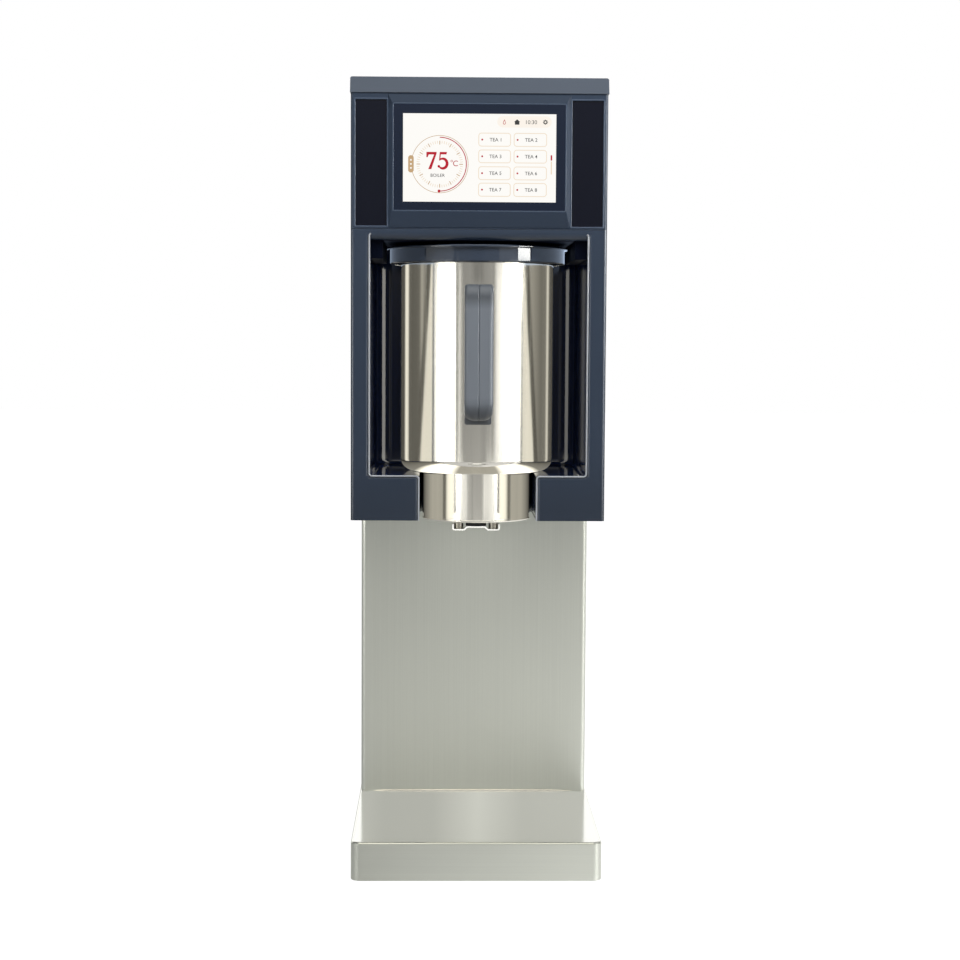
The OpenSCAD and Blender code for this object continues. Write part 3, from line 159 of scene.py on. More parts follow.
def shell(grid, wrap_rows=False, wrap_columns=False, caps=False):
    """Shell of a grid of points: a quad joins each point with its neighbours along rows and columns.

    Either way can close on itself, and the first and last row can each be closed by one flat face.
    The faces are turned over where the enclosed volume, a sum of triple products, comes out negative.
    """
    grid = np.asarray(grid, float)
    rows, columns = grid.shape[:2]
    r, c = np.meshgrid(np.arange(rows if wrap_rows else rows - 1),
                       np.arange(columns if wrap_columns else columns - 1), indexing="ij")
    r2, c2 = (r + 1) % rows, (c + 1) % columns
    corners = [r * columns + c, r2 * columns + c, r2 * columns + c2, r * columns + c2]
    faces = np.stack(corners, -1).reshape(-1, 4)
    points = grid.reshape(-1, 3)
    a, b, d, e = (points[faces[:, k]] - points.mean(0) for k in range(4))
    volume = (np.cross(a, b) * d).sum() + (np.cross(a, d) * e).sum()
    faces = faces.tolist()
    if caps:
        ends = [np.arange(columns)[::-1], np.arange(columns) + (rows - 1) * columns]
        faces += [end.tolist() for end in ends]
    if volume < 0:
        faces = [face[::-1] for face in faces]
    return points, faces


def joined(shells):
    """One shell of several: points follow each other and the faces' numbers move up with them."""
    starts = np.cumsum([0] + [len(points) for points, _ in shells]).tolist()
    points = np.concatenate([points for points, _ in shells])
    faces = [[start + k for k in face] for start, (_, own) in zip(starts, shells) for face in own]
    return points, faces


def turned(profile, centre, steps):
    """Closed half section (radius, height) turned round a vertical axis through centre."""
    radius, height = np.asarray(profile, float).T
    a = full_turn(steps)[:, None]
    x, y = centre[0] + radius * np.cos(a), centre[1] + radius * np.sin(a)
    return shell(np.stack([x, y, np.broadcast_to(height, x.shape)], -1), wrap_rows=True, wrap_columns=True)


def stacked(loops, heights, along_y=False):
    """Flat outlines of equal count set at their heights along Z or Y, joined, with flat end faces."""
    across, up = np.moveaxis(np.asarray(loops, float), -1, 0)
    height = np.broadcast_to(np.asarray(heights, float)[:, None], across.shape)
    grid = np.stack([across, height, up] if along_y else [across, up, height], -1)
    return shell(grid, wrap_columns=True, caps=True)


def made(name, parts, material, body, stands_for=(), sharp=32):
    """Mesh object of a shell, smooth but for edges sharper than an angle, riding on a body."""
    points, faces = parts
    mesh = bpy.data.meshes.new(name)
    mesh.from_pydata(np.asarray(points).tolist(), [], faces)
    mesh.validate()
    mesh.polygons.foreach_set("use_smooth", np.ones(len(mesh.polygons), bool))
    mesh.set_sharp_from_angle(angle=math.radians(sharp))
    mesh.materials.append(material)
    piece = bpy.data.objects.new(name, mesh)
    piece.modifiers.new("flat_faces", "WEIGHTED_NORMAL").keep_sharp = True
    bpy.context.scene.collection.objects.link(piece)
    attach(piece, body)
    if stands_for:
        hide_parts(*stands_for)


# Shader helpers
def feed(node, inputs):
    """Inputs of a node set to values, or linked to the sockets that feed them."""
    for key, value in inputs.items():
        if isinstance(value, bpy.types.NodeSocket):
            node.id_data.links.new(value, node.inputs[key])
        else:
            node.inputs[key].default_value = value


def add(tree, kind, inputs=None, **settings):
    """Shader node of a kind with its settings and its inputs."""
    node = tree.nodes.new("ShaderNode" + kind)
    for key, value in settings.items():
        setattr(node, key, value)
    feed(node, inputs or {})
    return node


def result(tree, operation, *values, kind="Math"):
    """Result of one operation on values or sockets, which are numbers unless the kind says vectors."""
    return add(tree, kind, dict(enumerate(values)), operation=operation).outputs[0]


def place_of(tree, axis=None):
    """Place on the object, whole or along one axis."""
    place = add(tree, "TexCoord").outputs["Object"]
    return add(tree, "SeparateXYZ", {0: place}).outputs[axis] if axis else place


def spread(tree, value, low, high, low_in=0.3, high_in=0.7):
    """Value taken from its own range to another, held at the ends."""
    return add(tree, "MapRange", {"Value": value, "From Min": low_in, "From Max": high_in,
                                  "To Min": low, "To Max": high}).outputs["Result"]


def tinted(tree, value, dark, light):
    """Colour between two, each a colour or a socket, by a value that changes over the surface."""
    ends = [end if isinstance(end, bpy.types.NodeSocket) else (*end, 1) for end in (dark, light)]
    mix = add(tree, "Mix", {"Factor": value, "A": ends[0], "B": ends[1]}, data_type="RGBA")
    return mix.outputs["Result"]


def new_group(name, inputs, outputs):
    """Shader node group with float inputs and their defaults, and float outputs."""
    tree = bpy.data.node_groups.new(name, "ShaderNodeTree")
    for label, default in inputs.items():
        socket = tree.interface.new_socket(label, in_out="INPUT", socket_type="NodeSocketFloat")
        socket.default_value = default
    for label in outputs:
        tree.interface.new_socket(label, in_out="OUTPUT", socket_type="NodeSocketFloat")
    return tree, tree.nodes.new("NodeGroupInput").outputs, tree.nodes.new("NodeGroupOutput")


def noise(tree, place, scale, detail):
    """Noise between 0 and 1 at a place, by its scale and its detail."""
    return add(tree, "TexNoise", {"Vector": place, "Scale": scale, "Detail": detail}).outputs["Fac"]


def make_grain():
    """Fine moulded or sprayed grain: two octaves of noise as a height, and a slow patchiness."""
    tree, given, out = new_group("fine_grain", {"Cells per metre": 1500.0, "Patches per metre": 14.0},
                                 ("Height", "Patches"))
    place = place_of(tree)
    feed(out, {"Height": noise(tree, place, given[0], 2.0), "Patches": noise(tree, place, given[1], 3.0)})
    return tree


def make_brushing():
    """Brushed lines: noise drawn out along one axis by scaling the place much less that way."""
    tree, given, out = new_group("brushed_lines", {"Along X": 6.0, "Along Y": 1400.0, "Along Z": 1400.0},
                                 ("Lines", "Cloud"))
    place = place_of(tree)
    size = add(tree, "CombineXYZ", {"X": given[0], "Y": given[1], "Z": given[2]}).outputs[0]
    drawn = result(tree, "MULTIPLY", place, size, kind="VectorMath")
    feed(out, {"Lines": noise(tree, drawn, 1.0, 3.0), "Cloud": noise(tree, place, 5.0, 2.0)})
    return tree


GRAIN = make_grain()
BRUSHING = make_brushing()


def grouped(tree, group, *values):
    """Outputs of a group placed in a material with its own values, in the order of the group's inputs."""
    return add(tree, "Group", dict(enumerate(values)), node_tree=group).outputs


def shade(colour, factor):
    """Colour times a factor."""
    return tuple(min(1.0, c * factor) for c in colour)


def shades(tree, value, colour, dark, light):
    """Colour that drifts between two shades of itself by a value."""
    return tinted(tree, value, shade(colour, dark), shade(colour, light))


def srgb(r, g, b):
    """Linear colour of a displayed one given in steps of 255."""
    c = np.array([r, g, b]) / 255
    return tuple(np.where(c <= 0.04045, c / 12.92, ((c + 0.055) / 1.055) ** 2.4).tolist())


def surface(name, **plain):
    """Empty material: its tree and its Principled shader with plain values set on its own sockets."""
    material = bpy.data.materials.new(name)
    material.use_nodes = True
    tree = material.node_tree
    shader = tree.nodes["Principled BSDF"]
    feed(shader, {key.replace("_", " "): value for key, value in plain.items()})
    return material, tree, shader


EDGE_SAMPLES = 6
MOULDED_EDGE = 0.5 * MM
METAL_EDGE = 0.4 * MM
GRAIN_DEPTH = 0.05 * MM
BRUSH_DEPTH = 0.02 * MM
STREAK_DEPTH = 0.2 * MM
# Shares of a finish's own colour or roughness between which it drifts
COLOUR_DRIFT = (0.95, 1.05)
ROUGH_DRIFT = (0.96, 1.04)
LINE_TINTS = (0.93, 1.06)
LINE_BLURS = (0.85, 1.2)
LIT_TOP_TINTS = (0.95, 1.03)
STREAK_TINTS = (0.86, 1.08)
GLOW_DRIFT = (0.99, 1.01)


def bumped(tree, height, strength, distance, edge=None):
    """Normal of a bump from a height, on top of slightly rounded edges where a radius is given."""
    bump = {"Height": height, "Strength": strength, "Distance": distance}
    if edge:
        bump["Normal"] = add(tree, "Bevel", {"Radius": edge}, samples=EDGE_SAMPLES).outputs[0]
    return add(tree, "Bump", bump).outputs[0]


def moulding(name, colour, rough, cells=1500.0, relief=0.12, **plain):
    """Moulded or painted surface: fine grain, patchy roughness and a slight drift of colour."""
    material, tree, shader = surface(name, **plain)
    grain = grouped(tree, GRAIN, cells)
    feed(shader, {"Base Color": shades(tree, grain["Patches"], colour, *COLOUR_DRIFT),
                  "Roughness": spread(tree, grain["Patches"], *(rough * share for share in ROUGH_DRIFT)),
                  "Normal": bumped(tree, grain["Height"], relief, GRAIN_DEPTH, MOULDED_EDGE)})
    return material


def brushed(name, colour, rough, along, relief=0.1, top=None, smear=None):
    """Metal with drawn lines: they vary its roughness, its tint and its height.

    Above a height its colour can be painted lighter, as painted light, and it can be smoother, and it can
    blur reflections more upwards than sideways.
    """
    material, tree, shader = surface(name, Metallic=1.0)
    drawn = grouped(tree, BRUSHING, *along)
    lines = drawn["Lines"]
    paint = shades(tree, lines, colour, *LINE_TINTS)
    both = result(tree, "MULTIPLY", lines, drawn["Cloud"])
    blur = spread(tree, both, *(rough * share for share in LINE_BLURS), 0.1, 0.45)
    # Above the height: a lighter colour, which is painted light, and a smoother surface
    if top:
        height, bright, smooth = top
        above = spread(tree, place_of(tree, "Z"), 0.0, 1.0, height - 0.6 * MM, height - 0.1 * MM)
        paint = tinted(tree, above, paint, shades(tree, lines, bright, *LIT_TOP_TINTS))
        blur = result(tree, "MULTIPLY", blur, result(tree, "MULTIPLY_ADD", above, smooth - 1, 1.0))
    if smear:
        upwards = add(tree, "CombineXYZ", {"Y": 0.01, "Z": 1.0}).outputs[0]
        feed(shader, {"Anisotropic": smear, "Tangent": upwards})
    feed(shader, {"Base Color": paint, "Roughness": blur,
                  "Normal": bumped(tree, lines, relief, BRUSH_DEPTH, METAL_EDGE)})
    return material


def painted_shade_ends(material, share, low=None, high=None):
    """Material whose colour is painted darker, as painted shade, to a share of itself below one range of
    height, above another, or both.
    """
    tree = material.node_tree
    shader = tree.nodes["Principled BSDF"]
    colour = shader.inputs["Base Color"].links[0].from_socket
    for ends, tones in ((low, (share, 1.0)), (high, (1.0, share))):
        if ends:
            dim = spread(tree, place_of(tree, "Z"), *tones, *ends)
            colour = add(tree, "VectorMath", {0: colour, "Scale": dim}, operation="SCALE").outputs[0]
    feed(shader, {"Base Color": colour})
    return material


def drawn_steel(name, colour, smooth, rough):
    """Steel drawn upwards: streaks round the pot go from near mirror to a sideways blur and tilt a little."""
    material, tree, shader = surface(name, Metallic=1.0, Anisotropic=0.6)
    fine = grouped(tree, BRUSHING, 420.0, 420.0, 1.0)["Lines"]
    broad = grouped(tree, BRUSHING, 90.0, 90.0, 0.6)["Lines"]
    ray = result(tree, "SUBTRACT", place_of(tree), (0, pot_y, 0), kind="VectorMath")
    round_way = result(tree, "CROSS_PRODUCT", (0, 0, 1), ray, kind="VectorMath")
    feed(shader, {"Base Color": shades(tree, broad, colour, *STREAK_TINTS),
                  "Roughness": spread(tree, result(tree, "MULTIPLY", fine, broad), smooth, rough, 0.14, 0.42),
                  "Tangent": result(tree, "NORMALIZE", round_way, kind="VectorMath"),
                  "Normal": bumped(tree, broad, 0.25, STREAK_DEPTH)})
    return material


# Finishes
NAVY = srgb(54, 67, 86)
navy_moulding = moulding("navy_moulding", NAVY, 0.25)
# The bezel's top strip is painted darker: painted shade where its upward slope catches the light
bezel_moulding = painted_shade_ends(moulding("bezel_moulding", shade(NAVY, 0.95), 0.55, Specular_IOR_Level=0.2),
                             0.74, high=(bezel_high.z - 16 * MM, bezel_high.z - 9 * MM))
# Lighter navy for the beads round the dark panels and the glass: a painted highlight of their edges
frame_edge = moulding("frame_edge", shade(NAVY, 1.5), 0.35)
screen_surround = moulding("screen_surround", shade(NAVY, 0.98), 0.35, Specular_IOR_Level=0.3)
# The fascia is painted darker towards its lower edge: painted shade of light falling off downwards
fascia_moulding = painted_shade_ends(moulding("fascia_moulding", NAVY, 0.25), 0.74,
                              low=(fascia_low.z + 10 * MM, fascia_low.z + 75 * MM))
# Light grey for the bead round the bay's mouth: a painted highlight of its rounded edges
mouth_highlight = moulding("mouth_highlight", srgb(188, 193, 200), 0.2, relief=0.02)
navy_paint = moulding("navy_paint", shade(NAVY, 0.9), 0.45, cells=900.0, relief=0.2)
cap_paint = moulding("cap_paint", srgb(82, 90, 102), 0.4, cells=900.0, relief=0.15, Specular_IOR_Level=0.15)
# The bay's gloss moulding: the liner's navy is lightened as painted light inside the dark bay, and the
# ceiling has a darker copy of it as painted shade
bay_lit_gloss = moulding("bay_lit_gloss", srgb(32, 46, 82), 0.09, relief=0.01)
ceiling_shaded_gloss = moulding("ceiling_shaded_gloss", srgb(12, 17, 32), 0.5, relief=0.02, Specular_IOR_Level=0.02)
lid_gloss = moulding("lid_gloss", srgb(64, 75, 92), 0.04, relief=0.004)
panel_gloss = moulding("panel_gloss", srgb(12, 16, 32), 0.22, relief=0.03, Specular_IOR_Level=0.3)
border_glass = moulding("border_glass", srgb(28, 38, 58), 0.1, relief=0.01, Specular_IOR_Level=0.3)
# The handle is painted darker towards its lower end and over its top bend: painted shade
grip_moulding = painted_shade_ends(moulding("grip_moulding", srgb(126, 133, 142), 0.45, cells=1800.0, relief=0.15),
                            0.5, (grip_low.z + 4 * MM, grip_low.z + 24 * MM),
                            (grip_high.z - 25 * MM, grip_high.z - 14 * MM))
bracket_moulding = moulding("bracket_moulding", srgb(100, 104, 108), 0.45, cells=1800.0, relief=0.15)
dark_moulding = moulding("dark_moulding", srgb(38, 41, 46), 0.5)
black_gland = moulding("black_gland", srgb(24, 25, 27), 0.5, cells=900.0)
white_moulding = moulding("white_moulding", srgb(222, 222, 218), 0.45)
red_moulding = moulding("red_moulding", srgb(170, 24, 22), 0.3, relief=0.04)
black_rubber = moulding("black_rubber", srgb(26, 26, 27), 0.75, cells=700.0, relief=0.3)
silicone_rubber = moulding("silicone_rubber", srgb(214, 214, 208), 0.55, cells=700.0, relief=0.1)
felt_wrap = moulding("felt_wrap", srgb(186, 180, 158), 0.95, cells=420.0, relief=1.0, Sheen_Weight=0.4)
board_mask = moulding("board_mask", srgb(26, 92, 48), 0.35, cells=600.0, relief=0.2)
motor_paint = moulding("motor_paint", srgb(44, 47, 51), 0.4)
WARM_STEEL = (0.80, 0.775, 0.71)
polished_steel = drawn_steel("polished_steel", WARM_STEEL, 0.07, 0.2)
seam_polish = brushed("seam_polish", WARM_STEEL, 0.2, along=(5.0, 900.0, 900.0), relief=0.02)
bridge_satin = brushed("bridge_satin", (0.97, 0.96, 0.92), 0.16, along=(30.0, 900.0, 900.0), relief=0.03)
# Dark tan steel for the bridge posts: this steel painted darker, as the shade under the head
shaded_post_satin = brushed("shaded_post_satin", (0.36, 0.34, 0.29), 0.35, along=(900.0, 900.0, 20.0), relief=0.05)
SATIN_STEEL = (0.60, 0.615, 0.56)
# The column's steel is this satin steel made a little lighter: painted light
column_satin = brushed("column_satin", shade(SATIN_STEEL, 1.04), 0.36, along=(1500.0, 1500.0, 5.0),
                       relief=0.06, smear=0.4)
# The base's top face is painted far lighter than its front: painted light
base_satin = brushed("base_satin", SATIN_STEEL, 0.34, along=(5.0, 1500.0, 1500.0), relief=0.06, smear=0.8,
                     top=(base_high.z, (0.98, 0.98, 0.95), 0.45))
plated_steel = brushed("plated_steel", (0.58, 0.59, 0.6), 0.4, along=(60.0, 500.0, 500.0))
turned_brass = brushed("turned_brass", (0.72, 0.53, 0.25), 0.25, along=(900.0, 20.0, 900.0))


def lit(name, colour):
    """Lit layer of the screen: an even glow with a faint drift, and a dull dark face."""
    material, tree, shader = surface(name, Roughness=0.35, Emission_Strength=1.0, Specular_IOR_Level=0.1,
                                     Base_Color=(0.01, 0.01, 0.01, 1))
    patches = grouped(tree, GRAIN, 4000.0)["Patches"]
    feed(shader, {"Emission Color": shades(tree, patches, colour, *GLOW_DRIFT)})
    return material


LIT = {tone: lit("lit_" + tone, srgb(*steps)) for tone, steps in {
    "cream": (252, 250, 246), "pale": (251, 243, 233), "caramel": (232, 210, 180), "line": (238, 222, 200),
    "tan": (196, 164, 124), "red": (184, 25, 45), "dark": (60, 60, 60)}.items()}

# The finish of each material slot, and of the nodes that differ from their slot
FINISH_OF_SLOT = {
    "satin_steel": column_satin, "polished_steel": polished_steel, "plated_steel": plated_steel,
    "navy_paint": navy_paint, "navy_plastic": navy_moulding, "grey_cap": cap_paint,
    "gloss_black": bay_lit_gloss, "lid_gloss": lid_gloss, "panel_gloss": panel_gloss,
    "screen_glass": border_glass, "display": white_moulding, "handle_grey": grip_moulding,
    "dark_plastic": dark_moulding, "black_rubber": black_rubber, "silicone": silicone_rubber,
    "brass": turned_brass, "insulation": felt_wrap, "circuit_green": board_mask,
    "white_plastic": white_moulding, "motor_black": motor_paint, "red_plastic": red_moulding,
}
FINISH_OF_NODE = {
    "base_cover": base_satin, "handle_bracket": bracket_moulding, "lift_bridge": bridge_satin,
    "bridge_posts": shaded_post_satin, "screen_bezel": bezel_moulding, "bay_ceiling": ceiling_shaded_gloss,
    "lower_fascia": fascia_moulding, "display_frame": screen_surround,
}
for row in frame["record"]["subparts"]:
    mesh = nodes[row["node"]].data
    mesh.materials.clear()
    mesh.materials.append(FINISH_OF_NODE.get(row["node"], FINISH_OF_SLOT[row["material_slot"]]))


# Brew pot: turned sheet metal and the lid
POT_WALL = 1.2 * MM
RIM_WIDTH = 3 * MM
RIM_THICK = 1.5 * MM
POT_CORNER = 14 * MM
CONE_RADIUS = 50 * MM
CONE_DROP = 14 * MM
OUTLET_RADIUS = 7 * MM
NOZZLE_RADIUS = 9.5 * MM
TURN_STEPS = 256


def vessel_section():
    """Half section of the pot: cone, rounded corner, wall and rolled rim, then back one wall further in."""
    wall_r = pot_high.x - RIM_WIDTH
    floor_z = pot_low.z + CONE_DROP
    corner = (wall_r - POT_CORNER, floor_z + POT_CORNER)
    roll = RIM_THICK / 2
    rim = (pot_high.x - roll, pot_high.z - roll)
    return np.concatenate([
        [(OUTLET_RADIUS, pot_low.z), (NOZZLE_RADIUS, pot_low.z), (CONE_RADIUS, floor_z)],
        arc(corner, POT_CORNER, -90, 0, 28),
        arc((wall_r + roll, pot_high.z - RIM_THICK - roll), roll, 180, 90, 6),
        arc(rim, roll, -90, 90, 10),
        [(wall_r - POT_WALL, pot_high.z)],
        arc(corner, POT_CORNER - POT_WALL, 0, -90, 20),
        [(CONE_RADIUS, floor_z + POT_WALL), (NOZZLE_RADIUS, pot_low.z + POT_WALL),
         (OUTLET_RADIUS, pot_low.z + POT_WALL)],
    ])


def skirt_section():
    """Half section of the drain skirt: a thin wall that ends in a rolled bead."""
    bead = 1.6 * MM
    wall_r = skirt_high.x - 0.4 * MM
    centre = (skirt_high.x - bead, skirt_low.z + bead)
    meets = math.degrees(math.acos((wall_r - centre[0]) / bead))
    return np.concatenate([
        [(wall_r - POT_WALL, skirt_high.z), (wall_r, skirt_high.z)],
        arc(centre, bead, meets, -270, 36),
    ])


def lid_section():
    """Half section of the lid: mouth bead, flat top, rounded lip, outer skirt and the plug inside the pot."""
    top, low = lid_high.z, lid_low.z
    wall, bead, plug_wall = 3 * MM, 2 * MM, 2.5 * MM
    lip_r, skirt_r = lid_high.x, lid_high.x - wall
    lip_low, under = top - 2.3 * MM, top - 4.3 * MM
    mouth, plug, plug_low = 62 * MM, 79.2 * MM, under - 10 * MM
    soft, edge, fine = 1.5 * MM, 1 * MM, 0.4 * MM
    return np.concatenate([
        [(mouth, under - wall)],
        arc((mouth + edge, top - edge), edge, 180, 90, 6),
        arc((lip_r - edge, top - edge), edge, 90, 0, 8),
        arc((lip_r - fine, lip_low + fine), fine, 0, -90, 4),
        arc((skirt_r + fine, lip_low - fine), fine, 90, 180, 4),
        arc((skirt_r - soft, low + soft), soft, 0, -90, 10),
        arc((skirt_r - wall + fine, low + fine), fine, -90, -180, 4),
        [(skirt_r - wall, under), (plug, under)],
        arc((plug - fine, plug_low + fine), fine, 0, -90, 4),
        [(plug - plug_wall, plug_low), (plug - plug_wall, under), (mouth + bead, under),
         (mouth + bead, under - wall)],
    ])


for name, section, material, node, slot in (
        ("vessel_shell", vessel_section(), polished_steel, "vessel", "polished_steel"),
        ("skirt_shell", skirt_section(), polished_steel, "drain_skirt", "polished_steel"),
        ("lid_shell", lid_section(), lid_gloss, "lid_ring", "lid_gloss")):
    made(name, turned(section, pot_axis, TURN_STEPS), material, "brew_pot", [node], 40)


# Handle: one section carried from the upper arm round the bow to the lower arm
GRIP_THICK = 13 * MM
TOP_ARM = 15 * MM
LOW_ARM = 17 * MM
TOP_BEND = 12 * MM
LOW_BEND = 18 * MM
INNER_BEND = 8 * MM
CREASE_DEPTH = 1.0 * MM
CREASE_WIDTH = 0.4 * MM
FACE_DISH = 0.3 * MM
BACK_ROUND = 3.5 * MM
CREASE_CROWDING = 1.7
# Shares of the way along the handle, with the radius of its front corners and the depth of its dish there
FRONT_ROUND = ((0, 0.3, 0.62, 0.8, 1), (2 * MM, 4 * MM, 4.5 * MM, 10 * MM, 7.5 * MM))
DISH_FADE = ((0.16, 0.24, 0.78, 0.86), (0, 1, 1, 0))


def bow_line(front, top, low, top_bend, low_bend, steps):
    """Side line (y, z) of a bow: level arm, bend, upright, bend and level arm, with equal steps in each."""
    back = grip_high.y
    along = np.linspace(0, 1, steps, endpoint=False)[:, None]
    ends = np.array([[back, top], [front + top_bend, top], [front, top - top_bend], [front, low + low_bend],
                     [front + low_bend, low], [back, low]])
    return np.concatenate([
        ends[0] + (ends[1] - ends[0]) * along,
        arc((front + top_bend, top - top_bend), top_bend, 90, 180, steps),
        ends[2] + (ends[3] - ends[2]) * (along + 1 / steps) * (steps - 1) / steps,
        arc((front + low_bend, low + low_bend), low_bend, 180, 270, steps),
        ends[4] + (ends[5] - ends[4]) * (along + 1 / steps),
    ])


def handle_surface(steps=22, across=33):
    """Rounded rectangle between the outer and the inner line of the bow at each step along it.

    Its outer corners open from the upper bend to the lower end, and its front face is dished towards
    a crease: a dish that falls evenly to the middle, and a narrow bell-shaped groove.
    """
    outer = bow_line(grip_low.y, grip_high.z, grip_low.z, TOP_BEND, LOW_BEND, steps)
    inner = bow_line(grip_low.y + GRIP_THICK, grip_high.z - TOP_ARM, grip_low.z + LOW_ARM,
                     INNER_BEND, INNER_BEND, steps)
    middle = (outer + inner) / 2
    reach = outer - inner
    thick = np.linalg.norm(reach, axis=1, keepdims=True)
    reach = reach / thick
    share = np.linspace(0, 1, len(outer))[:, None]
    half = grip_high.x
    front_r = np.interp(share, *FRONT_ROUND)
    back_r = np.full_like(front_r, BACK_ROUND)
    turn = np.radians(np.linspace(0, 90, 7))
    face = np.linspace(-1, 1, across)
    face = np.sign(face) * np.abs(face) ** CREASE_CROWDING
    sides = [
        (-half + front_r - front_r * np.cos(turn), thick / 2 - front_r + front_r * np.sin(turn)),
        ((half - front_r) * face, thick / 2 + 0 * face),
        (half - front_r + front_r * np.sin(turn), thick / 2 - front_r + front_r * np.cos(turn)),
        (half - back_r + back_r * np.cos(turn), -thick / 2 + back_r - back_r * np.sin(turn)),
        (-half + back_r - back_r * np.sin(turn), -thick / 2 + back_r - back_r * np.cos(turn)),
    ]
    x = np.concatenate([side[0] for side in sides], 1)
    depth = np.concatenate([np.broadcast_to(side[1], side[0].shape) for side in sides], 1)
    fade = np.interp(share, *DISH_FADE)
    dish = FACE_DISH * (1 - np.abs(x) / half) + CREASE_DEPTH * np.exp(-(x / CREASE_WIDTH) ** 2)
    depth = depth - np.where(depth > 0, dish * fade, 0)
    place = middle[:, None] + reach[:, None] * depth[..., None]
    grid = np.stack([x, place[..., 0], place[..., 1]], -1)
    return shell(grid, wrap_columns=True, caps=True)


made("handle_bow", handle_surface(), grip_moulding, "brew_pot", ["handle_grip"], 50)


# Lift bridge: a bent strip under the drain
def bridge_strip():
    """Outline of a strip with a raised middle and upturned ends, its bends rounded, drawn out along Y."""
    thick, rise, foot = 1.8 * MM, 3 * MM, 13 * MM
    bend = thick * math.tan(math.radians(22.5))
    low, high, half = bridge_low.z, bridge_high.z, bridge_high.x
    side = np.array([
        (foot - rise - bend, low + rise), (foot - bend, low), (half, low), (half, high), (half - thick, high),
        (half - thick, low + thick), (foot, low + thick), (foot - rise, low + rise + thick)])
    radii = np.array([1.5, 2.5, 2.4, 0.5, 0.5, 0.6, 0.8, 2.5]) * MM
    loop = filleted(np.concatenate([side, side[::-1] * (-1, 1)]), np.concatenate([radii, radii[::-1]]), 7)
    return stacked([loop, loop], [bridge_low.y, bridge_high.y], along_y=True)


made("bridge_strip", bridge_strip(), bridge_satin, "drain_valve", ["lift_bridge"], 40)

# Rubber pad under the drain, made black partly as painted shade: it gives the dark band of the drain's shaded
# underside
PAD_HOLE, PAD_RADIUS = 2.2 * MM, 11 * MM
PAD_HEIGHT, PAD_EDGE = 5 * MM, 0.6 * MM
pad_z = bridge_low.z + 4.8 * MM
pad_section = rounded_loop(PAD_HOLE, pad_z, PAD_RADIUS, pad_z + PAD_HEIGHT, PAD_EDGE, 5)
made("bridge_pad", turned(pad_section, pot_axis, 96), black_rubber, "drain_valve",
     sharp=40)


# Base: a folded cover with soft corners and an open underside
def base_shell():
    """Rounded outlines from the inner ceiling down the inside, round the lower edge, then up and over."""
    corner, edge, wall = 10 * MM, 2.5 * MM, 1.5 * MM
    low, top = base_low.z, base_high.z
    over = np.radians(np.linspace(0, 90, 9))
    inset = np.concatenate([[wall, wall, wall / 2, 0.15 * MM, 0], edge * (1 - np.cos(over))])
    height = np.concatenate([[top - wall, low + 0.3 * MM, low, low + 0.2 * MM, low + 0.6 * MM],
                             top - edge + edge * np.sin(over)])
    loops = [rounded_loop(base_low.x + i, base_low.y + i, base_high.x - i, base_high.y - i, corner - i, 14)
             for i in inset]
    return stacked(loops, height)


made("base_shell", base_shell(), base_satin, "machine", ["base_cover"], 40)


# Thin beads: along the column's foot, round the mouth of the bay, and round the dark panels and the glass;
# those round the mouth, the panels and the glass are light beads painted as highlights of their edges
SEAM_RADIUS = 1.9 * MM
SEAM_INSET = 14 * MM
MOUTH_RADIUS = 0.9 * MM


def bead_along(start, stop, radius, steps=60, around=20):
    """Half-sunk round bead along X between two points, tapering at its ends as a root of the distance."""
    share = np.linspace(0, 1, steps)[:, None]
    size = radius * np.minimum(1, 6 * np.minimum(share, 1 - share) + 0.02) ** 0.5
    a = full_turn(around)
    x = start[0] + (stop[0] - start[0]) * share
    y, z = start[1] + size * np.cos(a), start[2] + size * np.sin(a)
    return shell(np.stack([np.broadcast_to(x, y.shape), y, z], -1), wrap_columns=True, caps=True)


seam_ends = [(side * (column_high.x - SEAM_INSET), column_low.y, column_low.z) for side in (-1, 1)]
made("column_seam", bead_along(*seam_ends, SEAM_RADIUS), seam_polish, "machine")


def bead_path(path, y, radius, around=12):
    """Round bead along a flat path: circles spread by cosine to the path's side and by sine along Y."""
    run = np.gradient(path, axis=0)
    run /= np.linalg.norm(run, axis=1, keepdims=True)
    a = full_turn(around)
    x = path[:, :1] + radius * run[:, 1:] * np.cos(a)
    z = path[:, 1:] - radius * run[:, :1] * np.cos(a)
    grid = np.stack([x, np.broadcast_to(y + radius * np.sin(a), x.shape), z], -1)
    return shell(grid, wrap_columns=True, caps=True)


def mouth_path(side):
    """Way (x, z) of one side's edge: a short turn, down the wall, along the floor and down the notch."""
    wall, notch = liner_high.x - 2.5 * MM, skirt_high.x + 2.3 * MM
    floor, bend = liner_low.z, 3 * MM
    way = np.concatenate([
        arc((wall - bend, liner_high.z + 4 * MM), bend, 60, 0, 6),
        arc((wall - bend, floor + bend), bend, 0, -90, 8),
        arc((notch + bend, floor - bend), bend, 90, 180, 8),
        [(notch, fascia_low.z)],
    ])
    return way * (side, 1)


# Light beads round the bay's mouth: painted highlights of its edges
for label, side in SIDES:
    bead = bead_path(mouth_path(side), fascia_low.y + 0.2 * MM, MOUTH_RADIUS)
    made(f"mouth_highlight_{label}", bead, mouth_highlight, "machine", sharp=50)


